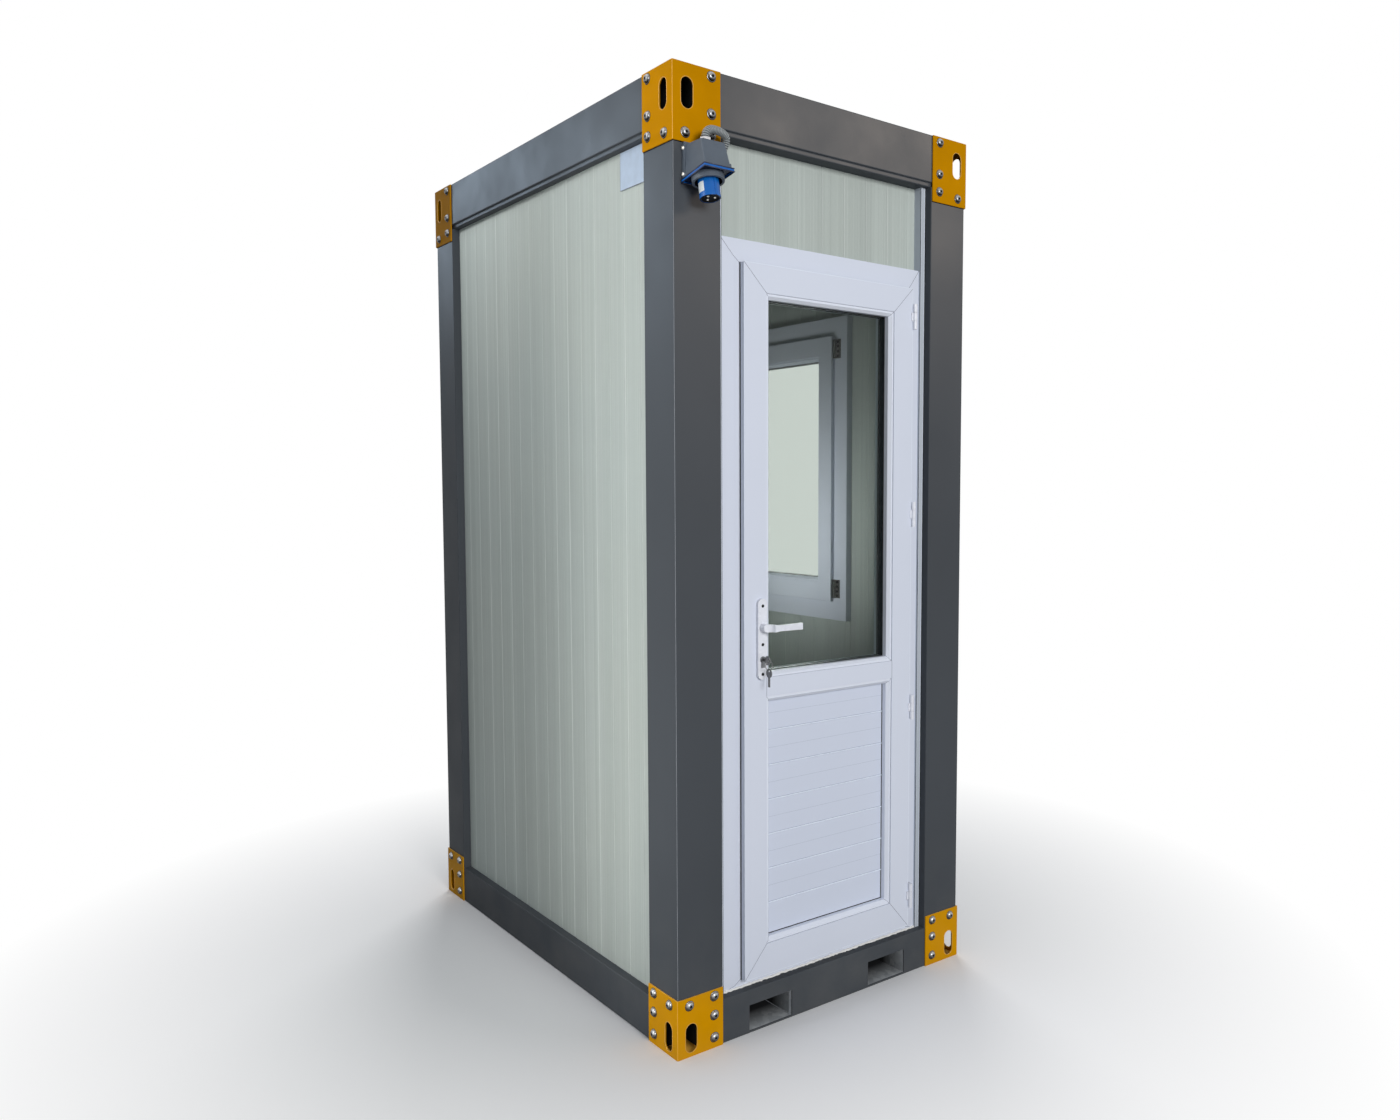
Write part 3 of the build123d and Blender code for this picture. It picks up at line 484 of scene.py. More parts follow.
def line_piece(name, paths, radius, material, body=BOOTH, closed=True):
    """Round lines along paths in metres, as one mesh; the radius is in millimetres."""
    curve = bpy.data.curves.new(name, "CURVE")
    curve.dimensions = "3D"
    curve.bevel_depth = radius * MM
    curve.bevel_resolution = 2
    curve.use_fill_caps = True
    for path in paths:
        spline = curve.splines.new("POLY")
        spline.points.add(len(path) - 1)
        for point, co in zip(spline.points, path):
            point.co = (*co, 1)
        spline.use_cyclic_u = closed
    mesh = mesh_of(curve)
    mesh.name = name
    mesh.materials.clear()
    mesh.materials.append(material)
    return place_piece(name, mesh, body)


def box_corners(low, high):
    """The four corners of an upright rectangle, as X and Z."""
    return [(x, z) for x in (low.x, high.x) for z in (low.z, high.z)]


def walk(corners):
    """Four corners in the order of a walk round them."""
    return [corners[i] for i in (0, 1, 3, 2)]


def frame_path(plane, at, low, high):
    """The four corners of an upright rectangle at a distance along X or Y."""
    (u0, z0), (u1, z1) = low, high
    corners = ((u0, z0), (u1, z0), (u1, z1), (u0, z1))
    return [(at, u, z) if plane == "x" else (u, at, z) for u, z in corners]


# Camera, at the photograph's place and angle

CAMERA_PLACE = Vector((-1.9140, -2.9885, 1.4177))
CAMERA_YAW, CAMERA_PITCH, CAMERA_ROLL = radians(39.116), radians(-3.840), radians(0.130)
FOCAL_PIXELS, IMAGE_WIDTH, SENSOR = 1091.7, 1400, 36
SHIFT_X, SHIFT_Y = -0.0756, 0.0026


def make_camera():
    data = bpy.data.cameras.new("camera")
    data.sensor_width = SENSOR
    data.lens = FOCAL_PIXELS / IMAGE_WIDTH * SENSOR
    data.shift_x, data.shift_y = SHIFT_X, SHIFT_Y
    forward = Vector((sin(CAMERA_YAW) * cos(CAMERA_PITCH),
                      cos(CAMERA_YAW) * cos(CAMERA_PITCH),
                      sin(CAMERA_PITCH)))
    level = forward.cross(Vector((0, 0, 1))).normalized()
    lift = level.cross(forward)
    right = level * cos(CAMERA_ROLL) + lift * sin(CAMERA_ROLL)
    up = lift * cos(CAMERA_ROLL) - level * sin(CAMERA_ROLL)
    turn = Matrix((right, up, -forward)).transposed().to_4x4()
    camera = bpy.data.objects.new("camera", data)
    camera.matrix_world = Matrix.Translation(CAMERA_PLACE) @ turn
    bpy.context.scene.collection.objects.link(camera)
    bpy.context.scene.camera = camera


# Studio: a pale floor that fades to white, a white world and soft lamps

WHITE = (1, 1, 1, 1)
FLOOR_PALE, FLOOR_RETURNED = (0.93, 0.93, 0.94, 1), (0.32, 0.32, 0.32, 1)
FLOOR_REACH, FADE_FROM, FADE_TO = 30, 0.8, 2.1


def seen_rays(tree):
    """1 for the rays that see the background: camera, glossy and transmission rays."""
    path = tree.nodes.new("ShaderNodeLightPath")
    total = path.outputs["Is Camera Ray"]
    for ray in ("Is Glossy Ray", "Is Transmission Ray"):
        total = maths(tree, "MAXIMUM", total, path.outputs[ray])
    return total


def make_world():
    world = bpy.data.worlds.new("studio")
    bpy.context.scene.world = world
    world.use_nodes = True
    tree = world.node_tree
    light = tree.nodes["Background"]
    light.inputs["Color"].default_value = (0.82, 0.91, 1.0, 1)
    light.inputs["Strength"].default_value = 0.22
    white = tree.nodes.new("ShaderNodeBackground")
    white.inputs["Color"].default_value = WHITE
    show_mix(tree, seen_rays(tree), light, white, "World Output")


def make_floor():
    """A floor that is pale to the eye, returns less light to the object, and is white further out."""
    bm = bmesh.new()
    bmesh.ops.create_grid(bm, x_segments=8, y_segments=8, size=FLOOR_REACH)
    mesh = bpy.data.meshes.new("floor")
    bm.to_mesh(mesh)
    bm.free()
    floor = bpy.data.objects.new("floor", mesh)
    bpy.context.scene.collection.objects.link(floor)
    made = Finish("floor", FLOOR_PALE, 0.9)
    tree = made.tree
    made.paint(made.blend(seen_rays(tree), FLOOR_RETURNED, FLOOR_PALE))
    away = made.node("ShaderNodeVectorMath", {0: made.place}, operation="LENGTH")
    fade = made.spread(away.outputs["Value"], FADE_FROM, FADE_TO)
    white = made.node("ShaderNodeEmission", {"Color": WHITE})
    show_mix(tree, made.multiply(seen_rays(tree), fade), made.shader, white)
    mesh.materials.append(made.material)
    return floor


def make_lamp(name, place, target, size, power, colour=(1, 1, 1), gloss_only=False):
    """A soft box, its width and height in metres; with gloss_only it shows in reflections alone."""
    data = bpy.data.lights.new(name, "AREA")
    data.shape = "RECTANGLE"
    data.size, data.size_y = size
    data.energy = power
    data.color = colour
    lamp = bpy.data.objects.new(name, data)
    lamp.location = place
    lamp.rotation_euler = (Vector(target) - Vector(place)).to_track_quat("-Z", "Y").to_euler()
    lamp.visible_camera = False
    lamp.visible_diffuse = not gloss_only
    bpy.context.scene.collection.objects.link(lamp)
    return lamp


def light_only(name, lamps, things, state="INCLUDE"):
    """Links lamps to the only things that they light, or to those that they leave out."""
    group = bpy.data.collections.new(name)
    for thing in things:
        group.objects.link(thing)
    for link in group.collection_objects:
        link.light_linking.link_state = state
    for lamp in lamps:
        lamp.light_linking.receiver_collection = group


make_camera()
make_world()
floor = make_floor()

# Three lamps light the whole object; the side and wall lamps lift the left wall, and one lights the room
make_lamp("front", (-1.2, -7.6, 3.0), (0, 0, 1.2), (2.6, 2.6), 365, (1.0, 0.985, 0.97))
make_lamp("top", (-2.0, 0.5, 7.0), (0, 0, 1.2), (4.0, 4.0), 40)
make_lamp("rear", (4.0, 6.0, 5.0), (0, 0, 1.2), (4.0, 4.0), 300)
side_lamp = make_lamp("side", (-1.02, -0.6, 1.38), (0, -0.6, 1.38), (0.3, 2.8), 8.2, (1.0, 0.99, 0.97))
wall_lamp = make_lamp("wall", (-1.1, 0.5, 2.65), (-0.475, 0.5, 2.1), (1.0, 0.3), 4.6)
inside_lamp = make_lamp("inside", (-0.22, -0.2, 1.12), (0.42, -0.05, 1.4), (0.36, 0.36), 1.35)
inside_lamp.visible_glossy = inside_lamp.visible_transmission = False
inside_lamp.data.spread = radians(105)
# Two more show only as reflections in the dark steel of the roof beams and the posts
left_gloss = make_lamp("left_sheen", (-3.6, 6.6, 4.2), (-0.5, 0, 2.3), (3.0, 1.6), 270,
                       (0.66, 0.82, 1.0), True)
right_gloss = make_lamp("right_sheen", (4.1, -5.3, 4.3), (0.1, -0.75, 2.3), (3.0, 1.4), 1050,
                        (1.0, 0.84, 0.7), True)
light_only("off_floor", [side_lamp], [floor], "EXCLUDE")
light_only("painted_steel", [left_gloss, right_gloss],
           [nodes[node] for node in ("roof_beams_end", "roof_beams_side", "corner_posts")])
bpy.context.scene.view_settings.view_transform = "Standard"


# Bracket bolts: dome heads with a hexagon socket on a thin washer; painted shade fills each socket and a
# painted shadow ring lies round each washer

LEG = 138
BOLT_RINGS = [(12.4, 0), (12.4, 1.0), (11.6, 1.4), (11.0, 1.4), (11.0, 2.2), (10.5, 3.9), (9.2, 5.7),
              (7.2, 7.0), (5.2, 7.6), (4.2, 7.7), (3.4, 7.6, 6), (3.3, 4.4, 6), (1.0, 4.0, 6)]
BOLT_SOCKET_SHADE = [(3.2, 4.4, 6), (3.2, 6.4, 6), (0.8, 6.2, 6)]
WASHER_SHADOW_RINGS = [(13.4, -0.2), (13.4, 0.35), (12.3, 0.45)]
BOLTS = {"top": ((27, 17), (27, 105), (27, 154), (102, 162)),
         "base": ((27, 16.5), (27, 66), (27, 124), (102, 20))}
SLOT_BELOW_TOP = {"top": 69.5, "base": 103.5}
BRACKET_PAIRS = [(level, f"brackets_{level}_{end}")
                 for level in ("top", "base") for end in ("front", "back")]


def bracket_bolts(node, spots):
    """Four bolts on each leg of a pair of brackets; a spot is from the free edge and from the top."""
    low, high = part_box(node)
    side_y = -1 if low.y < 0 else 1
    out_x, out_y = high.x, low.y if low.y < 0 else high.y
    chance = random.Random(node)
    heads, painted_shades = bmesh.new(), bmesh.new()
    for side_x in SIDES:
        for from_edge, down in spots:
            along = (LEG - from_edge) * MM
            z = high.z - down * MM
            end_leg = (side_x * (out_x - along), out_y, z), (0, side_y, 0)
            side_leg = (side_x * out_x, out_y - side_y * along, z), (side_x, 0, 0)
            for point, normal in (end_leg, side_leg):
                spot = seat(point, normal) @ Matrix.Rotation(chance.uniform(0, pi), 4, "Z")
                turned(heads, BOLT_RINGS, spot)
                # Painted shade in the socket and a painted shadow ring round the washer
                turned(painted_shades, BOLT_SOCKET_SHADE, spot)
                turned(painted_shades, WASHER_SHADOW_RINGS, spot)
    pair = node.replace("brackets_", "")
    piece_from("bolts_" + pair, heads, BOLT_METAL)
    piece_from("bolt_shades_" + pair, painted_shades, PAINTED_SHADE)


for level, node in BRACKET_PAIRS:
    bracket_bolts(node, BOLTS[level])


# Soft edges on CAD pieces: a narrow round along each sharp edge, which catches the light

FLAT_ANGLE, EDGE_ANGLE, WELD_REACH = radians(0.6), radians(35), 0.01 * MM


def soften(width, *names, segments=2):
    """Joins each node's flat faces, rounds its edges and keeps its flat faces flat in the light."""
    for name in names:
        add = nodes[name].modifiers.new
        add("weld", "WELD").merge_threshold = WELD_REACH
        flat = add("flat", "DECIMATE")
        flat.decimate_type = "DISSOLVE"
        flat.angle_limit = FLAT_ANGLE
        bevel = add("bevel", "BEVEL")
        bevel.width = width * MM
        bevel.segments = segments
        bevel.limit_method = "ANGLE"
        bevel.angle_limit = EDGE_ANGLE
        even = add("even", "WEIGHTED_NORMAL")
        even.weight = 100
        even.keep_sharp = True
        nodes[name].data.shade_smooth()


soften(0.9, *(node for level, node in BRACKET_PAIRS))
soften(1.5, "door_leaf_frame", "door_frame", "window_frame", "window_sash")
soften(0.8, "door_beads", "window_beads", "door_lower_panel", "sign_plate", "conduit_glands")
soften(1.6, "handle_plates", "lever", segments=3)
soften(0.5, "door_hinges_frame", "door_hinges_leaf", "window_hinges", "lock_cylinder", "door_keys")
soften(0.7, "inlet_housing", "inlet_insert", "inlet_collar", "inlet_pins", "window_handle")


# Wall panels: both skins are rolled with a deep rib every 80 mm and fine ribs between, each rib with a
# painted highlight on one side and painted shade on the other

RIB_PITCH, RIB_WIDTH, RIB_DEPTH, RIB_SHADED_SIDE = 80 * MM, 6 * MM, 1.5 * MM, -0.3
FINE_RIBS, FINE_WIDTH, FINE_DEPTH = 8, 2.6 * MM, 0.5 * MM
PANELS = (
    ("left_wall_panel_front", "x", -1, "high"),
    ("left_wall_panel_back", "x", -1, "low"),
    ("right_wall_panel_front", "x", 1, "high"),
    ("right_wall_panel_back", "x", 1, "low"),
    ("right_wall_panel_below_window", "x", 1, "middle"),
    ("right_wall_panel_above_window", "x", 1, "middle"),
    ("back_wall_panel", "y", 1, "middle"),
    ("transom_panel", "y", -1, "middle"))


def rib_marks(low, high, first_rib, chance):
    """Places along a panel with the depth of its skin there and its painted light, a highlight above 0 and
    shade below 0, from edge to edge.
    """
    marks = []
    reach = int((high - low) / RIB_PITCH) + 1
    for i in range(-reach, reach + 1):
        rib = first_rib + i * RIB_PITCH
        half = RIB_WIDTH / 2
        bright = chance.uniform(0.1, 0.4)
        marks += [(rib - half, 0, 0), (rib - half / 3, RIB_DEPTH, RIB_SHADED_SIDE),
                  (rib + half / 3, RIB_DEPTH, bright), (rib + half, 0, 0)]
        for k in range(1, FINE_RIBS):
            fine = rib + k * RIB_PITCH / FINE_RIBS + chance.uniform(-0.8, 0.8) * MM
            half = FINE_WIDTH / 2
            depth, shade = FINE_DEPTH * chance.uniform(0.5, 1.3), chance.uniform(-0.16, 0.16)
            marks += [(fine - half, 0, 0), (fine, depth, shade), (fine + half, 0, 0)]
    inside = [mark for mark in marks if low + 0.1 * MM < mark[0] < high - 0.1 * MM]
    edges = []
    for edge in (low, high):
        off = abs((edge - first_rib + RIB_PITCH / 2) % RIB_PITCH - RIB_PITCH / 2)
        on_rib = off < RIB_WIDTH / 6
        edges.append((edge, RIB_DEPTH if on_rib else 0, 1.0 if on_rib else 0))
    return [edges[0], *inside, edges[1]]


def ribbed_panel(name, axis, way, anchor):
    """A wall panel in place of its plain node; way is the side of its outer skin."""
    low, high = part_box(name)
    across, along = (0, 1) if axis == "x" else (1, 0)
    ends = low[along], high[along]
    first_rib = {"low": ends[0], "high": ends[1], "middle": sum(ends) / 2}[anchor]
    outer, inner = (high[across], low[across]) if way > 0 else (low[across], high[across])
    bm = bmesh.new()
    shade_of = bm.verts.layers.float.new(PAINTED_RELIEF_LIGHT)
    columns = []
    for place, depth, shade in rib_marks(*ends, first_rib, random.Random(name)):
        column = []
        for face, z in ((outer - way * depth, low.z), (outer - way * depth, high.z),
                        (inner + way * depth, high.z), (inner + way * depth, low.z)):
            co = [0, 0, z]
            co[across] = face
            co[along] = place
            vert = bm.verts.new(co)
            vert[shade_of] = shade
            column.append(vert)
        columns.append(column)
    skin(bm, columns)
    piece = piece_from(name + "_ribbed", bm, MATERIALS["panel_skin"], sharp=3)
    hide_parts(name)
    return piece


ribbed = [ribbed_panel(*panel) for panel in PANELS]
light_only("left_wall", [wall_lamp], ribbed[:2])


# Bracket slots: a pale edge round each, part worn paint and part painted highlight

SLOT_FROM_CORNER, SLOT_HALF_WIDTH, SLOT_HALF_LENGTH = 41 * MM, 17.5, 37.5


def slot_path(centre, across, steps=10):
    """The outline of an upright slot on a face; across is the face's own level direction."""
    path = []
    straight = SLOT_HALF_LENGTH - SLOT_HALF_WIDTH
    for way in (1, -1):
        for i in range(steps + 1):
            angle = pi * i / steps
            u = way * SLOT_HALF_WIDTH * cos(angle)
            v = way * (straight + SLOT_HALF_WIDTH * sin(angle))
            path.append(Vector(centre) + (Vector(across) * u + Vector((0, 0, v))) * MM)
    return path


for level, node in BRACKET_PAIRS:
    low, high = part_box(node)
    y_out, inward = (low.y, 1) if low.y < 0 else (high.y, -1)
    z = high.z - SLOT_BELOW_TOP[level] * MM
    rims = []
    for x_out, side in ((low.x, 1), (high.x, -1)):
        rims.append(slot_path((x_out + side * SLOT_FROM_CORNER, y_out, z), (1, 0, 0)))
        rims.append(slot_path((x_out, y_out + inward * SLOT_FROM_CORNER, z), (0, 1, 0)))
    line_piece("slot_rims_" + node.replace("brackets_", ""), rims, 0.8, EDGE_WEAR_AND_HIGHLIGHT)


# Painted shade: dark sheets behind the slots, where the corners' insides lie in shade; and a painted
# highlight line on each bend

SHADE_IN_X, SHADE_IN_Y, SHADE_THICKNESS, SHADE_GAP = 426 * MM, 676 * MM, 3 * MM, 5 * MM
SHADE_SPANS = ((1, 110), (2286, 2419))
POST_X, POST_Y, POST_BEND, POST_SPAN = 500 * MM, 750 * MM, 2.8 * MM, (153, 2240)
BRACKET_X, BRACKET_Y, BRACKET_BEND, BRACKET_SPANS = 504 * MM, 754 * MM, 3.8 * MM, ((2, 151), (2242, 2424))
LINE_SUNK, LINE_PROUD, LINE_BELOW = 0.35 * MM, 0.3 * MM, 0.5 * MM


def slot_shade_sheets():
    """Dark folded sheets of painted shade that close the inside of each pair of bracket legs."""
    bm = bmesh.new()
    end_x, end_y = POST_X - SHADE_GAP, POST_Y - SHADE_GAP
    profile = ((SHADE_IN_X, end_y), (SHADE_IN_X, SHADE_IN_Y), (end_x, SHADE_IN_Y),
               (end_x, SHADE_IN_Y + SHADE_THICKNESS), (SHADE_IN_X + SHADE_THICKNESS, SHADE_IN_Y + SHADE_THICKNESS),
               (SHADE_IN_X + SHADE_THICKNESS, end_y))
    for span in SHADE_SPANS:
        for sx, sy in CORNERS:
            skin(bm, [[bm.verts.new((sx * x, sy * y, z * MM)) for x, y in profile] for z in span])
    piece_from("slot_shade_sheets", bm, PAINTED_SHADE)


def bend_lines(x, y, bend, *spans):
    """Upright lines on the middle of each corner's bend; a span is its two heights in millimetres."""
    reach = bend - (bend - LINE_SUNK) * cos(pi / 4)
    return [[(sx * (x - reach), sy * (y - reach), z * MM) for z in span]
            for sx, sy in CORNERS for span in spans]


slot_shade_sheets()
# Painted highlights along the bends of the posts and the brackets
line_piece("post_bend_highlights", bend_lines(POST_X, POST_Y, POST_BEND, POST_SPAN), 0.5,
           STEEL_HIGHLIGHT, closed=False)
line_piece("bracket_bend_highlights", bend_lines(BRACKET_X, BRACKET_Y, BRACKET_BEND, *BRACKET_SPANS), 0.6,
           EDGE_WEAR_AND_HIGHLIGHT, closed=False)


# Painted shadow lines under the top brackets, and painted highlight lines and painted shade lines in the
# gaps at the trims beside the door frame

bracket_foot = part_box("brackets_top_front")[0].z - LINE_BELOW
under_brackets = []
for sx, sy in CORNERS:
    x, y = sx * (POST_X + LINE_PROUD), sy * (POST_Y + LINE_PROUD)
    under_brackets.append([(x, sy * (BRACKET_Y - LEG * MM), bracket_foot), (x, y, bracket_foot),
                           (sx * (BRACKET_X - LEG * MM), y, bracket_foot)])
line_piece("under_brackets", under_brackets, 1.2, PAINTED_SHADE, closed=False)

trim_low, trim_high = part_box("door_jamb_trims")
frame_low, frame_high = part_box("door_frame")


def trim_lines(from_outer, from_frame):
    """Upright lines on both trims, in from their outer edge and out from the door frame's edge."""
    return [[(side * x, trim_low.y - 0.1 * MM, z) for z in (trim_low.z + 1 * MM, trim_high.z - 1 * MM)]
            for side in SIDES for x in (trim_high.x - from_outer * MM, frame_high.x + from_frame * MM)]


line_piece("trim_highlights", trim_lines(2.2, 1.6), 0.7, PAINTED_HIGHLIGHT, closed=False)
line_piece("trim_gap_shades", trim_lines(0.4, 0.2), 0.7, PAINTED_SHADE, closed=False)


# Fork pockets: painted highlight lines on the edges of their lining

FORK_X, FORK_HALF, FORK_SILL, FORK_TOP, EDGE_IN = 213 * MM, 71 * MM, 6 * MM, 75 * MM, 0.6 * MM
mouth_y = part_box("fork_tunnels")[0].y + 1 * MM
floor_edge = FORK_SILL + EDGE_IN
fork_edge_highlights = []
for centre in (-FORK_X, FORK_X):
    right = centre + FORK_HALF - EDGE_IN
    fork_edge_highlights.append([(right, mouth_y, FORK_SILL), (right, mouth_y, FORK_TOP)])
    fork_edge_highlights.append([(right, mouth_y, floor_edge), (right, 0.0, floor_edge)])
line_piece("fork_edge_highlights", fork_edge_highlights, 0.9, STEEL_HIGHLIGHT, closed=False)


# Sign plate: a dark line round its edge

sign_low, sign_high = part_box("sign_plate")
sign_path = frame_path("x", sign_low.x + 0.5 * MM, (sign_low.y, sign_low.z), (sign_high.y, sign_high.z))
line_piece("sign_rim", [sign_path], 0.8, SEAM)


# Door: welded mitres, gaskets, seal, painted highlight and shadow lines on the leaf, beads and boards, and
# screws in painted shade

leaf_low, leaf_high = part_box("door_leaf_frame")
glass_low, glass_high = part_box("door_glass")
board_low, board_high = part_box("door_lower_panel")
BEAD_WIDTH, BEAD_HOLD, BEAD_BEVEL = 14, 11, 8
FRAME_SLOPE, FRAME_RISE = 16, 4
BOARD_FIRST, BOARD_PITCH, BOARD_LAST, BOARD_END, SHADOW_RISE = 94, 93, 15, 12, 2.3
MITRE_RADIUS, GASKET_RADIUS, GASKET_PAST_BEAD = 0.55, 1.7, 0.6
SEAL_RADIUS, SEAL_INSET, SEAL_DEPTH = 1.9, 0.4 * MM, 16.6 * MM
LEAF_FACE, BEAD_FACE, FRAME_FACE = leaf_low.y, leaf_low.y + 3 * MM, frame_low.y
VIEWS = ((glass_low, glass_high), (board_low, board_high))


def view_corners(low, high, grow):
    """Corners of a door opening's view, from the pane or board that fills it, in X and Z."""
    pull = (grow - BEAD_HOLD) * MM
    return [(x + sx * pull, z + sz * pull) for (x, z), (sx, sz) in zip(box_corners(low, high), CORNERS)]


def at(y, corner):
    """A corner, given as X and Z, at a depth."""
    return corner[0], y, corner[1]


def door_lines(name, paths, radius, material, body=DOOR, closed=False):
    line_piece(name, paths, radius, material, body, closed)


leaf_corners = box_corners(leaf_low, leaf_high)
glass_corners, board_corners = (view_corners(*view, BEAD_WIDTH) for view in VIEWS)
mitres = [[at(LEAF_FACE, leaf_corners[i]), at(LEAF_FACE, inner[i])]
          for inner, kept in ((glass_corners, (1, 3)), (board_corners, (0, 2))) for i in kept]
for view in VIEWS:
    for outer, middle, inner in zip(*(view_corners(*view, grow) for grow in (BEAD_WIDTH, BEAD_BEVEL, 0))):
        mitres.append([at(BEAD_FACE, outer), at(BEAD_FACE, middle), at(BEAD_FACE + BEAD_BEVEL * MM, inner)])
rail_low, rail_high = board_corners[1][1], glass_corners[0][1]
mitres += [[at(LEAF_FACE, (x, rail_low)), at(LEAF_FACE, (x, rail_high))]
           for x in (glass_corners[0][0], glass_corners[2][0])]
door_lines("leaf_mitres", mitres, MITRE_RADIUS, SEAM)

frame_mitres = []
for (x, z), outer, (sx, sz) in zip(leaf_corners, box_corners(frame_low, frame_high), CORNERS):
    slope = x + sx * FRAME_SLOPE * MM, z + sz * FRAME_SLOPE * MM
    frame_mitres.append([at(FRAME_FACE + FRAME_RISE * MM, outer), at(FRAME_FACE + FRAME_RISE * MM, slope),
                         at(FRAME_FACE, (x, z))])
door_lines("frame_mitres", frame_mitres, MITRE_RADIUS, SEAM, BOOTH)


def gasket(name, low, high, face, plane, body):
    """A black gasket between the beads and a pane, seen as a thin dark line."""
    hold = (BEAD_HOLD + GASKET_PAST_BEAD) * MM
    u = 1 if plane == "x" else 0
    path = frame_path(plane, face, (low[u] + hold, low.z + hold), (high[u] - hold, high.z - hold))
    line_piece(name, [path], GASKET_RADIUS, RUBBER, body)


window_low, window_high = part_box("window_glass")
gasket("door_glass_gasket", glass_low, glass_high, glass_low.y, "y", DOOR)
gasket("door_glass_gasket_inside", glass_low, glass_high, glass_high.y, "y", DOOR)
gasket("window_gasket", window_low, window_high, window_high.x, "x", BOOTH)
gasket("window_gasket_inside", window_low, window_high, window_low.x, "x", BOOTH)
seal = frame_path("y", leaf_low.y + SEAL_DEPTH, (leaf_low.x + SEAL_INSET, leaf_low.z + SEAL_INSET),
                  (leaf_high.x - SEAL_INSET, leaf_high.z - SEAL_INSET))
line_piece("leaf_seal", [seal], SEAL_RADIUS, RUBBER, DOOR)
gasket("board_gasket", board_low, board_high, board_low.y, "y", DOOR)

bead_edges = [[at(BEAD_FACE, corner) for corner in walk(corners)]
              for corners in (glass_corners, board_corners)]
# Painted highlights on the leaf's outer edge and the beads' bevels
leaf_rim_highlight = [at(LEAF_FACE + 0.4 * MM, corner) for corner in walk(leaf_corners)]
bead_rim_highlights = [[at(BEAD_FACE + 0.3 * MM, corner) for corner in walk(view_corners(*view, BEAD_BEVEL))]
             for view in VIEWS]
door_lines("bead_edges", bead_edges, 0.6, SEAM, closed=True)
door_lines("leaf_rim_highlight", [leaf_rim_highlight], 0.8, PAINTED_HIGHLIGHT, closed=True)
door_lines("bead_rim_highlights", bead_rim_highlights, 0.7, PAINTED_HIGHLIGHT, closed=True)


def board_line(z, proud):
    """A level line across the lower boards; proud is how far it stands out of their face."""
    ends = board_low.x + BOARD_END * MM, board_high.x - BOARD_END * MM
    return [(x, board_low.y - proud * MM, z) for x in ends]


# On each board joint a painted highlight, just above it a painted shadow line, and mid-board a painted
# shade line in the groove
board_joint_shadows, joint_highlights, board_groove_shades = [], [], []
joint = board_high.z - BOARD_FIRST * MM
while joint > board_low.z + BOARD_LAST * MM:
    board_joint_shadows.append(board_line(joint + SHADOW_RISE * MM, -0.2))
    joint_highlights.append(board_line(joint, 0.3))
    board_groove_shades.append(board_line(joint + BOARD_PITCH / 2 * MM, -0.3))
    joint -= BOARD_PITCH * MM
door_lines("board_joint_shadows", board_joint_shadows, 0.7, PAINTED_SHADOW_LINE)
door_lines("joint_highlights", joint_highlights, 1.6, PAINTED_HIGHLIGHT)
door_lines("board_groove_shades", board_groove_shades, 0.5, PAINTED_SHADOW_LINE)

PLATE_SCREW = [(4.3, -0.4), (4.2, 0.3), (3.2, 0.55), (1.6, 0.2), (0.4, 0.1)]
PLATE_SCREWS_DOWN = (19, 119, 196)
LOCK_PLUG, PLUG_DOWN = [(6.4, 0), (6.4, 0.5), (5.9, 0.9), (1.2, 0.9)], 8.5
plate_low, plate_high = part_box("handle_plates")
cylinder_low, cylinder_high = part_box("lock_cylinder")
handle_x = (plate_low.x + plate_high.x) / 2


def on_handle(face, top, down):
    """A place on the middle line of the handle's plate, down from a height."""
    return seat((handle_x, face, top - down * MM), (0, -1, 0))


# The handle plate's screws are dark dots of painted shade
turned_piece("plate_screws", [(PLATE_SCREW, on_handle(plate_low.y, plate_high.z, down))
                              for down in PLATE_SCREWS_DOWN], PAINTED_SHADE, DOOR)
turned_piece("lock_plug", [(LOCK_PLUG, on_handle(cylinder_low.y, cylinder_high.z, PLUG_DOWN))],
             MATERIALS["lock_metal"], DOOR)


# Window hinges: screws in their flaps, dark in painted shade

HINGE_SCREW, HINGE_SCREW_RISES = [(4.2, 0), (4.0, 0.8), (2.2, 1.0), (0.6, 0.3)], (8, 22, 38, 52)
FLAP_MIDDLE, FLAP_FACE, SASH_HINGE = 11 * MM, 3 * MM, 60 * MM
hinge_low, hinge_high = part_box("window_hinges")
flap_x, flap_y = hinge_high.x - FLAP_FACE, hinge_low.y + FLAP_MIDDLE
flap_heights = [base + rise * MM
                for base in (hinge_low.z, hinge_high.z - SASH_HINGE) for rise in HINGE_SCREW_RISES]
turned_piece("window_hinge_screws", [(HINGE_SCREW, seat((flap_x, flap_y, z), (-1, 0, 0)))
                                     for z in flap_heights], PAINTED_SHADE)


# Sealant under the door frame, laid by hand along the base beam

def ragged_bead(name, start, end, radius, material, sides=7, pitch=6 * MM):
    """A bead of uneven thickness between two points."""
    chance = random.Random(name)
    start, end = Vector(start), Vector(end)
    count = int((end - start).length / pitch)
    run = (end - start) / count
    bm = bmesh.new()
    loops = []
    for i in range(count + 1):
        centre = start + run * i
        size = radius * chance.uniform(0.65, 1.25)
        lean = Vector((0, chance.uniform(-0.3, 0.3), chance.uniform(-0.25, 0.25))) * radius
        loops.append([bm.verts.new(centre + lean + Vector((0, size * cos(a), 0.7 * size * sin(a))))
                      for a in round_angles(sides)])
    skin(bm, loops)
    piece_from(name, bm, material, sharp=80)


SEALANT_PAST = 14 * MM
foot_y, foot_z = FRAME_FACE + 3 * MM, frame_low.z + 1 * MM
ragged_bead("frame_sealant", (frame_low.x - SEALANT_PAST, foot_y, foot_z),
            (frame_high.x + SEALANT_PAST, foot_y, foot_z), 5.2 * MM, SEALANT)


# Power inlet: its own millimetres run from the middle of the housing's foot, with +Z up the tilted axis

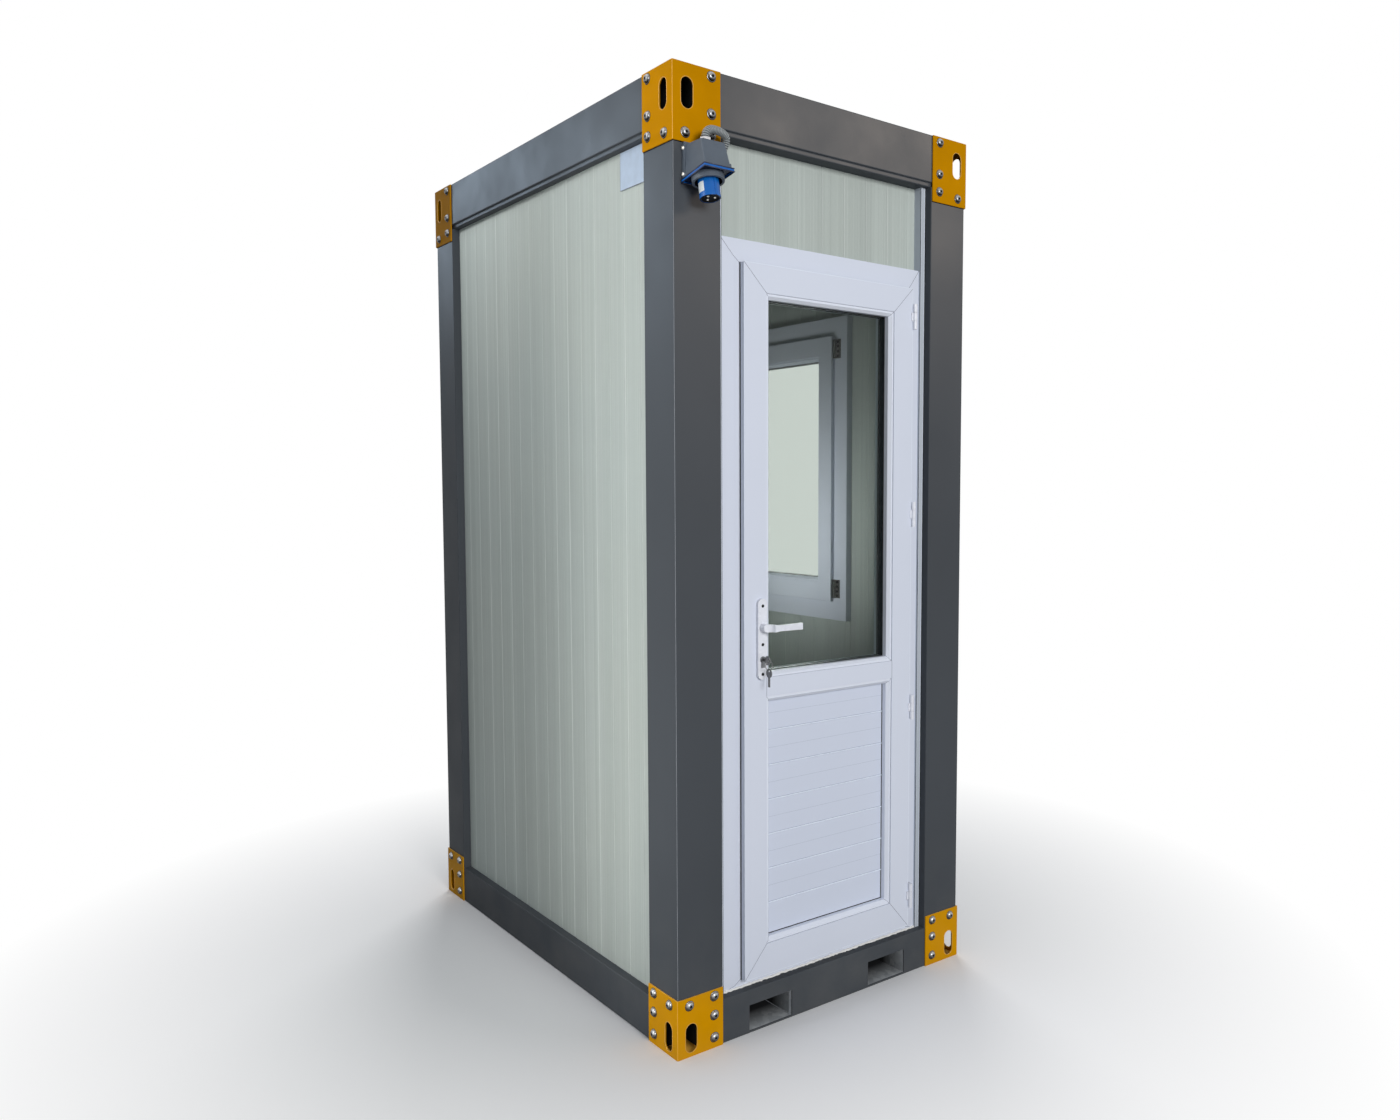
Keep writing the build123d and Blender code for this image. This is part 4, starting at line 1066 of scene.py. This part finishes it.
INLET_TILT = radians(11)
INLET_REACH, INLET_BOTTOM = 96 * MM, 2150 * MM
SOCKET_SHADE_PROFILE = [(0.6, -55.2), (21.9, -55.2), (21.9, -58.8), (21.2, -58.8), (21.2, -56.0), (0.6, -56.0)]
COLLAR_SHADE_PROFILE = [(25.6, -3.2), (32.9, -3.2), (32.9, -18.6), (32.3, -18.6), (32.3, -4.2), (25.6, -4.2)]
FLANGE_X, FLANGE_Y, LIP_WALL, LIP_TOP, LIP_FOOT = 41.6, 50.0, 2.2, 1.0, -6.4
PIN_CIRCLE, PIN_TIP = 11, [(2.6, -54), (2.6, -57.4), (2.0, -58.2), (0.5, -58.5)]
PATCH_PROFILE = ((25.05, -23), (25.5, -23), (25.5, -47), (25.05, -47))
PATCH_FROM, PATCH_TO, PATCH_STEPS = radians(158), radians(206), 8
SCREW_HOLE = [(4.2, -0.6), (4.1, 0.4), (3.2, 0.5), (0.5, 0.2)]
SIDE_SCREW = [(4.6, 0), (4.6, 1.0), (3.8, 2.4), (2.0, 3.2), (0.8, 3.2)]
SIDE_SCREW_Y, SIDE_SCREW_HEIGHTS = -757, (2163, 2224)
FACE_LEAN, HOLE_AT, ARC_AT = (0, -0.96, 0.28), (15, 8.0, 2182), (-2, 11.2, 2195)
ARC_RADIUS, ARC_RISE, ARC_ANGLES = 16, 0.1, [radians(65 + 11 * k) for k in range(10)]
FLANGE_CORNERS = ((-1, -1), (1, -1), (1, 1), (-1, 1))

housing_low, housing_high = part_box("inlet_housing")
inlet_x = (housing_low.x + housing_high.x) / 2
inlet_y = housing_low.y + INLET_REACH / 2
inlet_z = INLET_BOTTOM + INLET_REACH / 2 * tan(INLET_TILT)
inlet_seat = Matrix.Translation(Vector((inlet_x, inlet_y, inlet_z))) @ Matrix.Rotation(-INLET_TILT, 4, "X")


def in_inlet(x, y, z):
    """A point of the inlet's own millimetres, in metres in the booth's frame."""
    return inlet_seat @ (Vector((x, y, z)) * MM)


def flange_ring(height, inset=0):
    """The four corners of the flange at a height, set in by its lip."""
    return [in_inlet(sx * (FLANGE_X - inset), sy * (FLANGE_Y - inset), height) for sx, sy in FLANGE_CORNERS]


def on_slope(x, back, z):
    """A place on the housing's sloping front: from its middle, back from its foremost edge, and up."""
    return seat((inlet_x + x * MM, housing_low.y + back * MM, z * MM), FACE_LEAN)


# Painted shade deep in the socket and inside the collar
turned_piece("inlet_socket_shade", [(SOCKET_SHADE_PROFILE, inlet_seat), (COLLAR_SHADE_PROFILE, inlet_seat)],
             PAINTED_SHADE, segments=40)

bm = bmesh.new()
lip = [[bm.verts.new(point) for point in flange_ring(height, inset)]
       for height, inset in ((LIP_TOP, LIP_WALL), (LIP_TOP, 0), (LIP_FOOT, 0), (LIP_FOOT, LIP_WALL))]
skin(bm, lip + lip[:1], capped=False)
piece_from("inlet_flange_lip", bm, MATERIALS["inlet_blue"])
# Painted shade lines along the top and the foot of the flange's lip
line_piece("inlet_flange_shade_lines", [flange_ring(height) for height in (LIP_TOP + 0.2, LIP_FOOT)], 1.6,
           NAVY_SHADE)

bm = bmesh.new()
patch_angles = [PATCH_FROM + (PATCH_TO - PATCH_FROM) * i / PATCH_STEPS for i in range(PATCH_STEPS + 1)]
skin(bm, [[bm.verts.new(in_inlet(radius * cos(angle), radius * sin(angle), height))
           for radius, height in PATCH_PROFILE] for angle in patch_angles])
piece_from("inlet_patch", bm, LABEL)

pin_angles = [radians(90 + 120 * k) for k in range(3)]
pin_centres = [Vector((PIN_CIRCLE * cos(a), PIN_CIRCLE * sin(a), 0)) * MM for a in pin_angles]
turned_piece("inlet_pin_tips", [(PIN_TIP, inlet_seat @ Matrix.Translation(centre))
                                for centre in pin_centres], MATERIALS["pin_metal"], segments=16)

# A dark screw hole in painted shade
turned_piece("inlet_screw_hole", [(SCREW_HOLE, on_slope(*HOLE_AT))], PAINTED_SHADE, segments=20)
arc_seat = on_slope(*ARC_AT)
arc = [arc_seat @ (Vector((ARC_RADIUS * cos(a), ARC_RADIUS * sin(a), ARC_RISE)) * MM) for a in ARC_ANGLES]
line_piece("inlet_arc", [arc], 1.0, MATERIALS["inlet_grey"], closed=False)
turned_piece("inlet_screws", [(SIDE_SCREW, seat((housing_low.x, SIDE_SCREW_Y * MM, z * MM), (-1, 0, 0)))
                              for z in SIDE_SCREW_HEIGHTS], MATERIALS["pin_metal"], segments=20)


# Conduit: corrugated, along the same route as the plain tube it replaces

CONDUIT_ROUTE = [(-442, -800, 2244), (-442, -800, 2270), (-370, -786, 2270), (-370, -779, 2242),
                 (-382, -774, 2222), (-382, -750, 2222)]
CONDUIT_RADIUS, GROOVE_DEPTH, GROOVE_PITCH = 9.8 * MM, 2.2 * MM, 5.0 * MM


def route_points(points, count_per_run=24):
    """Points along a smooth spline that follows the route's corners."""
    curve = bpy.data.curves.new("route", "CURVE")
    curve.dimensions = "3D"
    curve.resolution_u = count_per_run
    spline = curve.splines.new("NURBS")
    spline.points.add(len(points) - 1)
    for point, co in zip(spline.points, points):
        point.co = (*co, 1)
    spline.order_u = 3
    spline.use_endpoint_u = True
    mesh = mesh_of(curve)
    path = [vert.co.copy() for vert in mesh.vertices]
    bpy.data.meshes.remove(mesh)
    return path


def evenly(path, step):
    """The same path with its points a step apart."""
    lengths = [0.0]
    for first, second in zip(path, path[1:]):
        lengths.append(lengths[-1] + (second - first).length)
    count = int(lengths[-1] / step)
    result, k = [], 0
    for i in range(count + 1):
        want = lengths[-1] * i / count
        while k < len(path) - 2 and lengths[k + 1] < want:
            k += 1
        share = (want - lengths[k]) / (lengths[k + 1] - lengths[k])
        result.append(path[k].lerp(path[k + 1], share))
    return result


def corrugated(name, path, radius, groove, pitch, material, sides=20, steps=6):
    """A tube with round ridges across it, along a path."""
    path = evenly(path, pitch / steps)
    bm = bmesh.new()
    shade_of = bm.verts.layers.float.new(PAINTED_RELIEF_LIGHT)
    loops = []
    normal = (path[1] - path[0]).orthogonal().normalized()
    for i, centre in enumerate(path):
        ahead = (path[min(i + 1, len(path) - 1)] - path[max(i - 1, 0)]).normalized()
        normal = (normal - ahead * normal.dot(ahead)).normalized()
        side = ahead.cross(normal)
        sunk = (0.5 - 0.5 * cos(2 * pi * i / steps)) ** 1.5
        loop = [bm.verts.new(centre + (normal * cos(a) + side * sin(a)) * (radius - groove * sunk))
                for a in round_angles(sides)]
        # Painted shade, deepest at the bottom of each groove
        for vert in loop:
            vert[shade_of] = -sunk
        loops.append(loop)
    skin(bm, loops)
    return piece_from(name, bm, material, sharp=60)


conduit = corrugated("conduit_corrugated", route_points([Vector(point) * MM for point in CONDUIT_ROUTE]),
                     CONDUIT_RADIUS, GROOVE_DEPTH, GROOVE_PITCH, MATERIALS["conduit_grey"])
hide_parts("conduit")


# Roof sheet screws, with washers, along its crests

CRESTS, CREST_PITCH = 7, 850 / 7 * MM
SCREW_FROM_END, SCREW_FROM_MIDDLE = 40 * MM, 0.24
ROOF_SCREW = [(9.5, 0), (9.2, 1.0), (5.0, 1.3), (4.9, 1.3, 6), (4.9, 3.4, 6), (3.2, 3.8, 6)]
roof_low, roof_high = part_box("roof_sheet")
first_row, last_row = roof_low.y + SCREW_FROM_END, roof_high.y - SCREW_FROM_END
screw_rows = (first_row, -SCREW_FROM_MIDDLE, SCREW_FROM_MIDDLE, last_row)
turned_piece("roof_screws",
             [(ROOF_SCREW, Matrix.Translation(((i - (CRESTS - 1) / 2) * CREST_PITCH, y, roof_high.z)))
              for i in range(CRESTS) for y in screw_rows], BOLT_METAL, segments=18)
